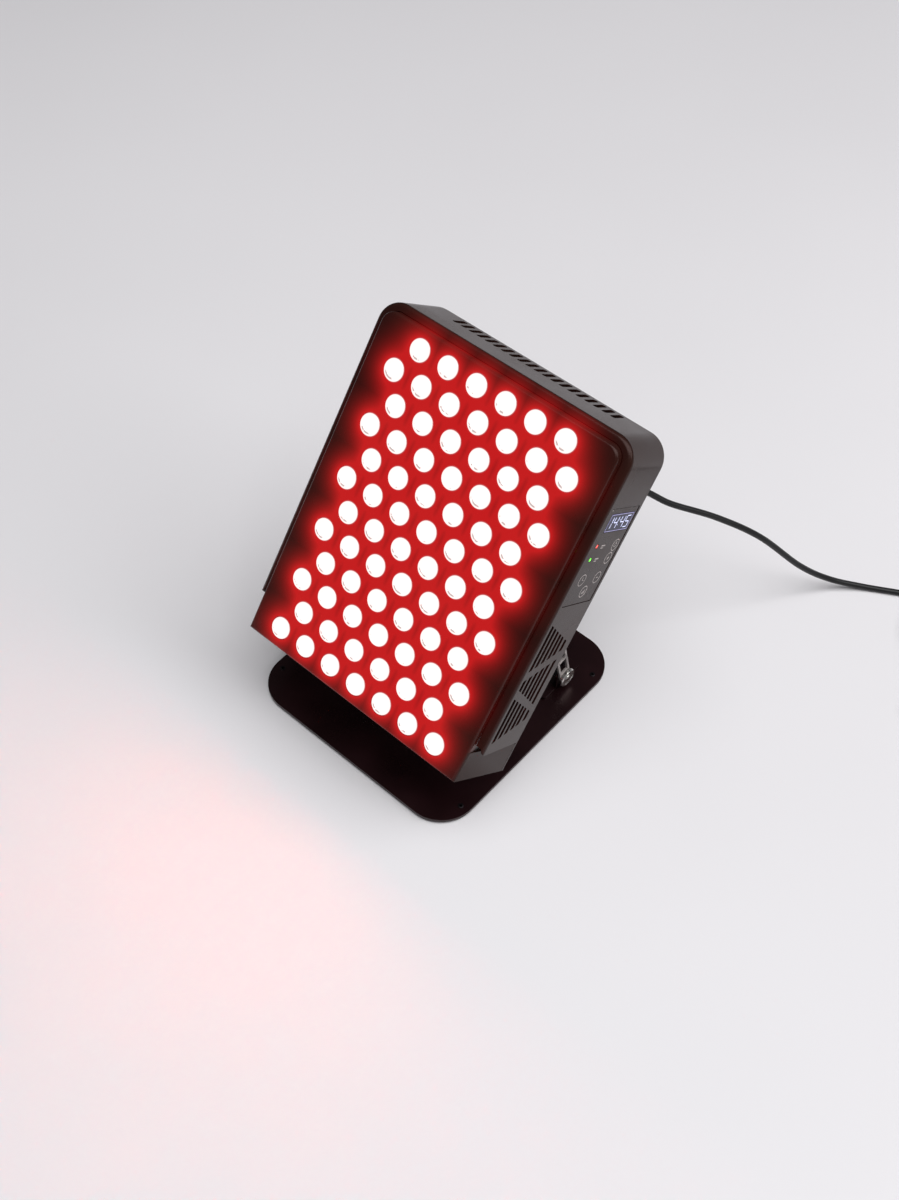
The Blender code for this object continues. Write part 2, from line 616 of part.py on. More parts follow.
def make_controls(panel):
    floor = HOOD_HALF - LABEL_RECESS
    label_x = (floor + GAP, floor + GAP + LABEL_THICKNESS)
    shape = bmesh.new()
    add_box(shape, label_x, (LABEL_FRONT + GAP, LABEL_BACK - GAP), (LABEL_BOTTOM + GAP, LABEL_TOP - GAP))
    label = node(shape, "control_label", panel, (0.05, 0.043, 0.042), 0.35)
    shape = bmesh.new()
    through = (floor - OVERRUN, HOOD_HALF + OVERRUN)
    height = (DISPLAY_BOTTOM - GAP, DISPLAY_TOP + GAP)
    add_box(shape, through, (DISPLAY_FRONT - GAP, DISPLAY_BACK + GAP), height)
    for z in INDICATOR_HEIGHTS:
        start = (floor - OVERRUN, INDICATOR_Y, z)
        add_round(shape, start, (1, 0, 0), LABEL_RECESS + 2 * OVERRUN, INDICATOR_RADIUS + GAP)
    cut(label, shape)

    shape = bmesh.new()
    add_box(shape, label_x, (DISPLAY_FRONT, DISPLAY_BACK), (DISPLAY_BOTTOM, DISPLAY_TOP))
    node(shape, "display_window", panel, (0.02, 0.025, 0.06), 0.08)

    board_x = (CASE_HALF + GAP, CASE_HALF + GAP + CONTROL_BOARD_THICKNESS)
    board_y = (LABEL_FRONT + OVERRUN, LABEL_BACK - OVERRUN)
    shape = bmesh.new()
    add_box(shape, board_x, board_y, (LABEL_BOTTOM + OVERRUN, LABEL_TOP - OVERRUN))
    node(shape, "control_board", panel, (0.02, 0.12, 0.05), 0.5)

    module_x = (board_x[1] + GAP, floor)
    inset = DISPLAY_FRAME + GAP
    height = (DISPLAY_BOTTOM + inset, DISPLAY_TOP - inset)
    shape = bmesh.new()
    add_box(shape, module_x, (DISPLAY_FRONT + inset, DISPLAY_BACK - inset), height)
    node(shape, "display_module", panel, (0.75, 0.75, 0.9), 0.3)

    colours = (("red", (0.9, 0.1, 0.1)), ("green", (0.1, 0.8, 0.3)))
    for z, (name, colour) in zip(INDICATOR_HEIGHTS, colours):
        shape = bmesh.new()
        start = (module_x[0], INDICATOR_Y, z)
        add_round(shape, start, (1, 0, 0), label_x[1] - module_x[0], INDICATOR_RADIUS)
        node(shape, name + "_indicator", panel, colour, 0.3, smooth=True)


def make_back_cover(panel):
    half = HOOD_HALF - GAP
    height = (CASE_BOTTOM, HOOD_TOP - GAP)
    shape = rounded_block(half, (BODY_DEPTH, COVER_BACK), height, HOOD_CORNER, segments=6)
    cover = node(shape, "back_cover", panel, (0.04, 0.036, 0.035), 0.45)
    depth = COVER_THICKNESS + 2 * OVERRUN
    start = BODY_DEPTH - OVERRUN

    shape = bmesh.new()
    pitch = 2 * FAN_BORE / GRILLE_SLOT_COUNT
    slot_half = pitch * GRILLE_SLOT_SHARE / 2
    for side in (-1, 1):
        for slot in range(GRILLE_SLOT_COUNT):
            offset = (slot - (GRILLE_SLOT_COUNT - 1) / 2) * pitch
            reach = math.sqrt(FAN_BORE**2 - offset**2) * GRILLE_LENGTH_SHARE
            middle = side * FAN_HALF_SPACING + offset
            across = (middle - slot_half, middle + slot_half)
            add_box(shape, across, (start, start + depth), (FAN_Z - reach, FAN_Z + reach))
    wide = INLET_WIDTH / 2 + GAP
    tall = INLET_HEIGHT / 2 + GAP
    add_box(shape, span_about(INLET_X, wide), (start, start + depth), span_about(INLET_Z, tall))
    cut(cover, shape)

    hood, lip = back_screw_places()
    fans = fan_hole_places(-1) + fan_hole_places(1)
    ears = [(side * EAR_SCREW_X, TILT_AXIS_Z + up) for side in (-1, 1) for up in EAR_SCREW_PLACES]
    holes = [(x, start, z) for x, z in hood + lip + fans + ears]
    cut(cover, hole_cutter(holes, (0, 1, 0), depth))


def make_fan(panel, side, name):
    centre_x = side * FAN_HALF_SPACING
    half = FAN_SIZE / 2
    shape = bmesh.new()
    add_box(shape, (centre_x - half, centre_x + half), (FAN_FRONT, FAN_BACK), (FAN_Z - half, FAN_Z + half))
    frame = node(shape, name + "_fan_frame", panel, (0.03, 0.03, 0.03), 0.5)
    through = FAN_DEPTH + 2 * OVERRUN
    start = FAN_FRONT - OVERRUN
    cut(frame, hole_cutter([(centre_x, start, FAN_Z)], (0, 1, 0), through, FAN_BORE, ROUND_SEGMENTS))
    mount_front = FAN_BACK - MOTOR_MOUNT_DEPTH
    shape = bmesh.new()
    disc = (centre_x, mount_front, FAN_Z)
    add_round(shape, disc, (0, 1, 0), MOTOR_MOUNT_DEPTH - GAP, HUB_RADIUS, segments=ROUND_SEGMENTS)
    cut(frame, shape, "UNION")
    shape = bmesh.new()
    strut_y = (mount_front + GAP, FAN_BACK - 2 * GAP)
    for strut in range(STRUT_COUNT):
        ends = (HUB_RADIUS - OVERRUN, FAN_BORE + OVERRUN)
        verts = add_box(shape, (-STRUT_WIDTH / 2, STRUT_WIDTH / 2), strut_y, ends)
        turn = Matrix.Rotation(math.tau * strut / STRUT_COUNT, 4, "Y")
        bmesh.ops.transform(shape, matrix=Matrix.Translation((centre_x, 0.0, FAN_Z)) @ turn, verts=verts)
    cut(frame, shape, "UNION")
    holes = [(x, start, z) for x, z in fan_hole_places(side)]
    cut(frame, hole_cutter(holes, (0, 1, 0), through))

    rotor_back = mount_front - GAP
    shaft = new_axis(name + "_fan_axis", panel, (centre_x, rotor_back - HUB_DEPTH / 2, FAN_Z))
    shape = bmesh.new()
    add_round(shape, (0.0, -HUB_DEPTH / 2, 0.0), (0, 1, 0), HUB_DEPTH, HUB_RADIUS, segments=ROUND_SEGMENTS)
    rotor = node(shape, name + "_fan_rotor", shaft, (0.05, 0.05, 0.05), 0.5, smooth=True)
    shape = bmesh.new()
    for blade in range(BLADE_COUNT):
        reach = (HUB_RADIUS - OVERRUN, FAN_BORE - BLADE_CLEARANCE)
        flat = (-BLADE_CHORD / 2, BLADE_CHORD / 2)
        verts = add_box(shape, flat, (-BLADE_THICKNESS / 2, BLADE_THICKNESS / 2), reach)
        turn = Matrix.Rotation(math.tau * blade / BLADE_COUNT, 4, "Y")
        bmesh.ops.transform(shape, matrix=turn @ Matrix.Rotation(BLADE_PITCH, 4, "Z"), verts=verts)
    cut(rotor, shape, "UNION")


def make_driver(panel):
    shape = bmesh.new()
    depth = (FAN_BACK - DRIVER_DEPTH, FAN_BACK)
    add_box(shape, (DRIVER_LEFT, DRIVER_RIGHT), depth, (DRIVER_BOTTOM, DRIVER_TOP))
    node(shape, "led_driver", panel, (0.65, 0.65, 0.66), 0.4, 0.8)


def make_inlet(panel):
    half_x = INLET_WIDTH / 2
    half_z = INLET_HEIGHT / 2
    face = INLET_FACE
    back = INLET_BACK
    shape = bmesh.new()
    add_box(shape, span_about(INLET_X, half_x), (back, face), span_about(INLET_Z, half_z))
    inlet = node(shape, "power_inlet", panel, (0.03, 0.03, 0.03), 0.4)
    shape = bmesh.new()
    wide = half_x + INLET_FLANGE
    tall = half_z + INLET_FLANGE
    add_box(shape, span_about(INLET_X, wide), (face - SHEET, face), span_about(INLET_Z, tall))
    cut(inlet, shape, "UNION")
    shape = bmesh.new()
    pocket_x = half_x - SOCKET_WALL
    pocket_z = half_z - SOCKET_WALL
    floor = back + SOCKET_WALL
    pocket = (floor, face + OVERRUN)
    add_box(shape, span_about(INLET_X, pocket_x), pocket, span_about(INLET_Z, pocket_z))
    cut(inlet, shape)
    pins_x = (INLET_X - PIN_HALF_SPACING, INLET_X + PIN_HALF_SPACING)
    tags = [(x, back - OVERRUN, INLET_Z) for x in pins_x]
    cut(inlet, hole_cutter(tags, (0, 1, 0), OVERRUN + SOCKET_WALL + PIN_STICKOUT, PIN_RADIUS), "UNION")

    nose_x = pocket_x - GAP
    nose_z = pocket_z - GAP
    grip_end = face + GAP + GRIP_LENGTH
    shape = bmesh.new()
    nose = (floor + GAP, face + GRIP_LENGTH / 2)
    add_box(shape, span_about(INLET_X, nose_x), nose, span_about(INLET_Z, nose_z))
    connector = node(shape, "cord_connector", panel, (0.02, 0.02, 0.02), 0.5)
    shape = bmesh.new()
    wide = nose_x + GRIP_SWELL
    tall = nose_z + GRIP_SWELL
    add_box(shape, span_about(INLET_X, wide), (face + GAP, grip_end), span_about(INLET_Z, tall))
    cut(connector, shape, "UNION")
    holes = [(x, floor - OVERRUN, INLET_Z) for x in pins_x]
    cut(connector, hole_cutter(holes, (0, 1, 0), OVERRUN + PIN_STICKOUT + GAP, PIN_RADIUS + GAP))
    shape = bmesh.new()
    start = (INLET_X, grip_end + GAP, INLET_Z)
    sides = ROUND_SEGMENTS // 2
    add_round(shape, start, (0, 1, 0), BOOT_LENGTH, BOOT_RADIUS, BOOT_TIP_RADIUS, sides)
    node(shape, "connector_boot", panel, (0.02, 0.02, 0.02), 0.55, smooth=True)
    return (INLET_X, grip_end + GAP + BOOT_LENGTH, INLET_Z)


def make_back_ear(panel, side, name):
    low = COVER_BACK + GAP
    shape = bmesh.new()
    foot = span(side, LUG_OUTER_X - EAR_FOOT_WIDTH, LUG_OUTER_X)
    add_box(shape, foot, (low, low + SHEET), span_about(TILT_AXIS_Z, EAR_FOOT_HALF_LENGTH))
    ear = node(shape, name + "_back_ear", panel, (0.6, 0.6, 0.6), 0.35, 0.9)
    start = low + SHEET / 2
    outline = [(start, TILT_AXIS_Z - LUG_RADIUS)]
    outline += arc((TILT_AXIS_Y, TILT_AXIS_Z), LUG_RADIUS, -90, 90, 8)
    outline += [(start, TILT_AXIS_Z + LUG_RADIUS)]
    shape = bmesh.new()
    add_plate(shape, outline, span(side, LUG_INNER_X, LUG_OUTER_X))
    cut(ear, shape, "UNION")
    pin = span(side, LUG_INNER_X - OVERRUN, LUG_OUTER_X + OVERRUN)
    start = (pin[0], TILT_AXIS_Y, TILT_AXIS_Z)
    cut(ear, hole_cutter([start], (1, 0, 0), pin[1] - pin[0], PIN_HOLE, 2 * SMALL_SEGMENTS))
    holes = [(side * EAR_SCREW_X, low - OVERRUN, TILT_AXIS_Z + up) for up in EAR_SCREW_PLACES]
    cut(ear, hole_cutter(holes, (0, 1, 0), SHEET + 2 * OVERRUN))


def add_pivot_fastener(shape, centre, side, head_radius, head_thickness, head_segments):
    """A headed shaft along X, as one turned body: head outside the strap, shaft to just past the nut."""
    head_in = STRAP_OUTER_X + GAP
    shaft_end = LUG_INNER_X - GAP - NUT_THICKNESS - SHAFT_PAST_NUT
    profile = (
        (0.0, head_in + head_thickness),
        (head_radius, head_in + head_thickness),
        (head_radius, head_in),
        (SHAFT_RADIUS, head_in),
        (SHAFT_RADIUS, shaft_end),
        (0.0, shaft_end),
    )
    rings = []
    for radius, x in profile:
        count = head_segments if radius else 1
        ring = []
        for step in range(count):
            angle = math.tau * step / count
            y = centre[0] + radius * math.cos(angle)
            z = centre[1] + radius * math.sin(angle)
            ring.append(shape.verts.new((side * x, y, z)))
        rings.append(ring)
    for first, second in zip(rings, rings[1:]):
        for step in range(head_segments):
            corners = [first[step % len(first)], first[(step + 1) % len(first)]]
            corners += [second[(step + 1) % len(second)], second[step % len(second)]]
            shape.faces.new(list(dict.fromkeys(corners)))


def make_nut(parent, centre, side, name):
    shape = bmesh.new()
    start = (side * (LUG_INNER_X - GAP), *centre)
    add_round(shape, start, (-side, 0, 0), NUT_THICKNESS, NUT_RADIUS, segments=6)
    nut = node(shape, name, parent, (0.65, 0.65, 0.65), 0.3, 1.0)
    start = (side * (LUG_INNER_X + OVERRUN), *centre)
    cut(nut, hole_cutter([start], (-side, 0, 0), NUT_THICKNESS + 2 * OVERRUN + GAP, PIN_HOLE))


def make_tilt_joint(panel, side, name):
    centre = (TILT_AXIS_Y, TILT_AXIS_Z)
    shape = bmesh.new()
    add_pivot_fastener(shape, centre, side, BOLT_HEAD_RADIUS, BOLT_HEAD_THICKNESS, 12)
    node(shape, name + "_tilt_bolt", panel, (0.7, 0.7, 0.7), 0.25, 1.0)
    make_nut(panel, centre, side, name + "_tilt_nut")
    for up, level in zip(EAR_SCREW_PLACES, ("lower", "upper")):
        shape = bmesh.new()
        seat = (side * EAR_SCREW_X, COVER_BACK + 2 * GAP + SHEET, TILT_AXIS_Z + up)
        add_screw(shape, seat, (0, -1, 0), SHEET + COVER_THICKNESS + 2 * GAP)
        node(shape, f"{name}_{level}_ear_screw", panel, (0.6, 0.6, 0.6), 0.3, 1.0)


def make_base(root):
    half_x = BASE_WIDTH / 2
    half_y = BASE_LENGTH / 2
    outline = []
    for turn in range(4):
        corner_x = (half_x - BASE_CORNER) * (1 if turn in (0, 3) else -1)
        corner_y = (half_y - BASE_CORNER) * (1 if turn in (0, 1) else -1)
        start = turn * QUARTER_DEGREES
        outline += arc((corner_x, corner_y), BASE_CORNER, start, start + QUARTER_DEGREES, 8)
    shape = bmesh.new()
    face = shape.faces.new([shape.verts.new((x, y, PAD_HEIGHT)) for x, y in outline])
    grown = bmesh.ops.extrude_face_region(shape, geom=[face])["geom"]
    moved = [item for item in grown if isinstance(item, bmesh.types.BMVert)]
    bmesh.ops.translate(shape, verts=moved, vec=(0.0, 0.0, BASE_THICKNESS))
    plate = node(shape, "base_plate", root, (0.02, 0.014, 0.016), 0.3)

    pad_x = half_x - PAD_SIDE_INSET
    pad_y = half_y - PAD_END_INSET
    pads = [(side * pad_x, end * pad_y) for side in (-1, 1) for end in (-1, 1)]
    lugs = [(side * LUG_SCREW_X, PIVOT_Y + along) for side in (-1, 1) for along in LUG_SCREW_PLACES]
    down = PAD_HEIGHT - OVERRUN
    depth = BASE_THICKNESS + 2 * OVERRUN
    shape = hole_cutter([(x, y, down) for x, y in pads], (0, 0, 1), depth, PAD_SCREW_RADIUS + GAP)
    for x, y in lugs:
        add_round(shape, (x, y, down), (0, 0, 1), depth, SCREW_RADIUS + GAP)
    cut(plate, shape)

    for (x, y), name in zip(pads, ("front_left", "back_left", "front_right", "back_right")):
        shape = bmesh.new()
        add_round(shape, (x, y, 0.0), (0, 0, 1), PAD_HEIGHT - GAP, PAD_RADIUS, segments=2 * SMALL_SEGMENTS)
        pad = node(shape, name + "_pad", root, (0.02, 0.02, 0.02), 0.8)
        cut(pad, hole_cutter([(x, y, PAD_HEIGHT / 2)], (0, 0, 1), PAD_HEIGHT, PAD_SCREW_RADIUS + GAP))
        shape = bmesh.new()
        length = BASE_THICKNESS + PAD_HEIGHT / 2
        seat = (x, y, BASE_TOP + GAP)
        add_screw(shape, seat, (0, 0, -1), length, PAD_SCREW_HEAD, PAD_SCREW_PROUD, PAD_SCREW_RADIUS)
        node(shape, name + "_pad_screw", root, (0.3, 0.25, 0.26), 0.4, 0.8)
    for (x, y), name in zip(lugs, ("left_front", "left_back", "right_front", "right_back")):
        shape = bmesh.new()
        add_screw(shape, (x, y, BASE_TOP + 2 * GAP + SHEET), (0, 0, -1), SHEET + BASE_THICKNESS)
        node(shape, name + "_lug_screw", root, (0.6, 0.6, 0.6), 0.3, 1.0)


def make_hinge_lug(root, side, name):
    low = BASE_TOP + GAP
    shape = bmesh.new()
    foot = span(side, LUG_OUTER_X - LUG_FOOT_WIDTH, LUG_OUTER_X)
    add_box(shape, foot, (PIVOT_Y - LUG_FOOT_FRONT, PIVOT_Y + LUG_FOOT_BACK), (low, low + SHEET))
    lug = node(shape, name + "_hinge_lug", root, (0.6, 0.6, 0.6), 0.35, 0.9)
    start = low + SHEET / 2
    outline = [(PIVOT_Y + LUG_RADIUS, start)]
    outline += arc((PIVOT_Y, PIVOT_Z), LUG_RADIUS, 0, 180, 8)
    outline += [(PIVOT_Y - LUG_RADIUS, start)]
    shape = bmesh.new()
    add_plate(shape, outline, span(side, LUG_INNER_X, LUG_OUTER_X))
    cut(lug, shape, "UNION")
    pin = span(side, LUG_INNER_X - OVERRUN, LUG_OUTER_X + OVERRUN)
    start = (pin[0], PIVOT_Y, PIVOT_Z)
    cut(lug, hole_cutter([start], (1, 0, 0), pin[1] - pin[0], PIN_HOLE, 2 * SMALL_SEGMENTS))
    holes = [(side * LUG_SCREW_X, PIVOT_Y + along, low - OVERRUN) for along in LUG_SCREW_PLACES]
    cut(lug, hole_cutter(holes, (0, 0, 1), SHEET + 2 * OVERRUN))


def make_arm_strap(arm, side, name):
    """A slotted strap between the two pivots: both ends round, windows with webs between its two bars."""
    radius = STRAP_WIDTH / 2
    outline = arc((0.0, 0.0), radius, 180, 360, 8)
    outline += arc((0.0, ARM_LENGTH), radius, 0, 180, 8)
    shape = bmesh.new()
    across = span(side, STRAP_INNER_X, STRAP_OUTER_X)
    add_plate(shape, outline, across)
    strap = node(shape, name + "_arm_strap", arm, (0.75, 0.74, 0.73), 0.4, 0.6)
    through = (across[0] - OVERRUN, across[1] + OVERRUN)
    shape = bmesh.new()
    free = ARM_LENGTH - STRAP_LOWER_END - STRAP_UPPER_END
    pitch = (free + STRAP_WEB) / STRAP_WINDOW_COUNT
    inside = radius - STRAP_BAR
    for window in range(STRAP_WINDOW_COUNT):
        low = STRAP_LOWER_END + window * pitch
        add_box(shape, through, (-inside, inside), (low, low + pitch - STRAP_WEB))
    for height in (0.0, ARM_LENGTH):
        add_round(shape, (through[0], 0.0, height), (1, 0, 0), through[1] - through[0], PIN_HOLE, segments=16)
    cut(strap, shape)


def make_knob(root, side, name):
    turns = new_axis(name + "_knob_axis", root, (0.0, PIVOT_Y, PIVOT_Z))
    shape = bmesh.new()
    add_pivot_fastener(shape, (0.0, 0.0), side, KNOB_RADIUS, KNOB_THICKNESS, ROUND_SEGMENTS)
    node(shape, name + "_knob", turns, (0.8, 0.8, 0.78), 0.25, 1.0, smooth=True)


def curve_tube(name, parent, points, radius, resolution, colour, roughness):
    """A tube along the points, as a curve with a round bevel and filled caps."""
    curve = bpy.data.curves.new(name, "CURVE")
    curve.dimensions = "3D"
    curve.bevel_depth = radius
    curve.bevel_resolution = resolution
    curve.use_fill_caps = True
    spline = curve.splines.new("POLY")
    spline.points.add(len(points) - 1)
    for held, point in zip(spline.points, points):
        held.co = (*point, 1.0)
    made = bpy.data.objects.new(name, curve)
    made.parent = parent
    curve.materials.append(new_material(name, colour, roughness))
    PARTS.objects.link(made)
    return made


def make_leads(panel):
    """The leads between inlet, driver, board, fans and control board, inside the case."""
    driver_front = FAN_BACK - DRIVER_DEPTH
    middle_y = FAN_BACK - DRIVER_DEPTH / 2
    tags_end = INLET_BACK - OVERRUN
    level = tags_end - GAP - MAINS_LEAD_RADIUS
    low = INLET_Z - INLET_HEIGHT
    points = [(INLET_X + PIN_HALF_SPACING, level, INLET_Z), (INLET_X - PIN_HALF_SPACING, level, INLET_Z)]
    points += [(INLET_X - INLET_WIDTH / 2, level, low), (DRIVER_RIGHT + GAP, level, low)]
    curve_tube("mains_lead", panel, points, MAINS_LEAD_RADIUS, 0, (0.3, 0.12, 0.05), 0.5)

    x = DRIVER_LEFT / 2
    bend = 8 * LEAD_RADIUS
    lift = SINK_BACK + FIN_HEIGHT + 2 * LEAD_RADIUS
    end = BOARD_MARGIN - HEATSINK_TOP_SHORTER / 2
    leaves = driver_front + 2 * LEAD_RADIUS
    points = [(x, leaves, DRIVER_TOP + GAP), (x, leaves, DRIVER_TOP + bend / 2), (x, lift, DRIVER_TOP + bend)]
    points += [(x, lift, end - bend), (x, lift - 3 * LEAD_RADIUS, end), (x, BOARD_BACK + GAP, end)]
    curve_tube("light_lead", panel, points, LEAD_RADIUS, 0, (0.5, 0.02, 0.02), 0.5)

    top = FAN_Z + FAN_SIZE / 2 + GAP + LEAD_RADIUS
    x = FAN_HALF_SPACING
    points = [(x, middle_y, top), (-x / 2, middle_y, top), (-x, middle_y, top + bend)]
    points += [(-x, middle_y, DRIVER_BOTTOM - GAP)]
    curve_tube("fan_lead", panel, points, LEAD_RADIUS, 0, (0.02, 0.02, 0.02), 0.5)

    cable_y = (LABEL_FRONT + LABEL_BACK) / 2
    points = [(CASE_HALF, cable_y, CABLE_Z), (CASE_HALF - bend, cable_y, CABLE_Z)]
    points += [(DRIVER_RIGHT + bend, middle_y, CABLE_Z), (DRIVER_RIGHT + GAP, middle_y, CABLE_Z)]
    curve_tube("control_cable", panel, points, LEAD_RADIUS, 0, (0.6, 0.6, 0.6), 0.5)


def smooth_line(points, step):
    """Even points along a smooth curve through the given points."""
    fine = []
    ends = [points[0] * 2 - points[1]] + points + [points[-1] * 2 - points[-2]]
    for before, first, second, after in zip(ends, ends[1:], ends[2:], ends[3:]):
        for part in range(24):
            t = part / 24
            bend = before * (2 * t * t - t - t**3) + first * (3 * t**3 - 5 * t * t + 2)
            bend += second * (4 * t * t + t - 3 * t**3) + after * (t**3 - t * t)
            fine.append(bend / 2)
    fine.append(points[-1])
    return even_points(fine, step)


def even_points(fine, step):
    reach = [0.0]
    for first, second in zip(fine, fine[1:]):
        reach.append(reach[-1] + (second - first).length)
    count = max(2, round(reach[-1] / step))
    made = []
    place = 0
    for number in range(count + 1):
        target = reach[-1] * number / count
        while place < len(fine) - 2 and reach[place + 1] < target:
            place += 1
        share = (target - reach[place]) / (reach[place + 1] - reach[place])
        made.append(fine[place].lerp(fine[place + 1], share))
    return made


def line_length(points):
    return sum((second - first).length for first, second in zip(points, points[1:]))


def coil_points():
    """The coil's centreline: it spirals in along the table, climbs one layer, and spirals out again."""
    along = Vector((math.cos(COIL_HEADING), math.sin(COIL_HEADING), 0.0))
    right = Vector((along.y, -along.x, 0.0))
    start = Vector((*COIL_LEAVES, CORD_FLOOR)) + along * COIL_RUN_IN
    centre = start + right * COIL_OUTER
    first_angle = math.atan2(-right.y, -right.x)
    sweep = COIL_HALF_TURN_COUNT * math.pi
    count = round(COIL_HALF_TURN_COUNT / 2 * COIL_POINT_COUNT)
    points = [start - along * 2 * CORD_RADIUS]
    for number in range(count + 1):
        turned = sweep * number / count
        inward = min(turned, sweep - turned) / math.tau * COIL_PITCH
        climb = min(1.0, max(0.0, (turned - sweep / 2) / math.pi + 0.5))
        rise = COIL_PITCH * climb * climb * (3 - 2 * climb)
        angle = first_angle - turned
        spoke = Vector((math.cos(angle), math.sin(angle), 0.0)) * (COIL_OUTER - inward)
        points.append(centre + spoke + Vector((0.0, 0.0, rise)))
    heading = Vector((math.sin(angle), -math.cos(angle), 0.0))
    points.append(points[-1] + heading * 2 * CORD_RADIUS)
    return points, heading


def least_self_gap(points):
    """The least free gap between turns of the coil, measured on its points and the middles between them."""
    fine = []
    for first, second in zip(points, points[1:]):
        fine += [first, (first + second) / 2]
    reach = COIL_POINT_COUNT
    least = math.inf
    for number, here in enumerate(fine):
        for there in fine[number + reach:]:
            least = min(least, (here - there).length)
    return least - 2 * CORD_RADIUS


def make_cord(root, boot_tip, boot_heading):
    black = (0.015, 0.015, 0.015)
    coil, heading = coil_points()
    first = boot_tip + boot_heading * GAP
    route = [first, first + boot_heading * CORD_STRAIGHT]
    route += [Vector(point) for point in CORD_ROUTE]
    route += [Vector((*COIL_LEAVES, CORD_FLOOR)), coil[0]]
    line = smooth_line(route, CORD_STEP)
    join = Vector(CORD_ROUTE[UPPER_ROUTE_COUNT])
    split = min(range(len(line)), key=lambda number: (line[number] - join).length)
    forward = (line[split + 1] - line[split]).normalized()
    upper = line[: split + 1]
    lower = [line[split] + forward * GAP] + line[split + 1 :]
    lower[-1] = lower[-1] + (lower[-2] - lower[-1]).normalized() * GAP
    curve_tube("upper_power_cord", root, upper, CORD_RADIUS, 2, black, 0.5)
    curve_tube("power_cord", root, lower, CORD_RADIUS, 2, black, 0.5)
    curve_tube("power_cord_coil", root, coil, CORD_RADIUS, 1, black, 0.5)
    print("least gap between turns of the coil, mm:", round(least_self_gap(coil) / MM, 2))
    print("length of the cord, mm:", round((line_length(line) + line_length(coil)) / MM))

    across = heading.cross(Vector((0.0, 0.0, 1.0)))
    place = Matrix((
        (across.x, heading.x, 0.0, coil[-1].x),
        (across.y, heading.y, 0.0, coil[-1].y),
        (across.z, heading.z, 1.0, coil[-1].z),
        (0.0, 0.0, 0.0, 1.0),
    ))
    plug_axis = new_axis("plug_place", root, place.translation)
    plug_axis.rotation_euler = place.to_euler()
    boot_end = GAP + PLUG_BOOT_LENGTH
    shape = bmesh.new()
    start = (0.0, GAP, 0.0)
    add_round(shape, start, (0, 1, 0), PLUG_BOOT_LENGTH, BOOT_TIP_RADIUS, PLUG_BOOT_RADIUS, segments=12)
    node(shape, "plug_boot", plug_axis, black, 0.55, smooth=True)
    tall = coil[-1].z - GAP
    body = (boot_end + GAP, boot_end + GAP + PLUG_LENGTH)
    shape = bmesh.new()
    verts = add_box(shape, (-PLUG_WIDTH / 2, PLUG_WIDTH / 2), body, (-tall, tall))
    narrow = 1 - PLUG_WAIST / PLUG_WIDTH
    for vert in verts:
        if vert.co.y < sum(body) / 2:
            vert.co.x *= narrow
    plug = node(shape, "plug_body", plug_axis, black, 0.5)
    pins = [(side * PLUG_PIN_HALF_SPACING, body[1] - PLUG_PIN_SEAT, 0.0) for side in (-1, 1)]
    cut(plug, hole_cutter(pins, (0, 1, 0), PLUG_PIN_SEAT + PLUG_PIN_LENGTH, PLUG_PIN_RADIUS), "UNION")


base_frame = new_axis("base_frame", None, (0.0, 0.0, 0.0))
arm_pivot_axis = new_axis("arm_pivot_axis", base_frame, (0.0, PIVOT_Y, PIVOT_Z), ARM_LEAN)
panel_tilt_axis = new_axis("panel_tilt_axis", arm_pivot_axis, (0.0, 0.0, ARM_LENGTH), -ARM_LEAN - PANEL_LEAN)
face_place = (0.0, -TILT_AXIS_Y, -TILT_AXIS_Z)
panel_face = new_axis("panel_face", panel_tilt_axis, face_place)

make_base(base_frame)
for hand, hand_name in ((-1, "left"), (1, "right")):
    make_hinge_lug(base_frame, hand, hand_name)
    make_nut(base_frame, (PIVOT_Y, PIVOT_Z), hand, hand_name + "_pivot_nut")
    make_knob(base_frame, hand, hand_name)
    make_arm_strap(arm_pivot_axis, hand, hand_name)
    make_back_ear(panel_face, hand, hand_name)
    make_tilt_joint(panel_face, hand, hand_name)
    make_fan(panel_face, hand, hand_name)
make_front_case(panel_face)
make_lights(panel_face)
make_heatsink(panel_face)
make_outer_hood(panel_face)
make_controls(panel_face)
make_back_cover(panel_face)
make_driver(panel_face)
boot_end_on_panel = make_inlet(panel_face)
make_leads(panel_face)
bpy.context.view_layer.update()
panel_to_world = panel_face.matrix_world
boot_direction = (panel_to_world.to_3x3() @ Vector((0.0, 1.0, 0.0))).normalized()
make_cord(base_frame, panel_to_world @ Vector(boot_end_on_panel), boot_direction)
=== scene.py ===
"""Red light therapy panel on its tilting stand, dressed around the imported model.

X runs across the panel, the lights face -Y, +Z is up, and the stand rests at Z = 0.
"""
import math

import bmesh
import bpy
from mathutils import Matrix, Vector


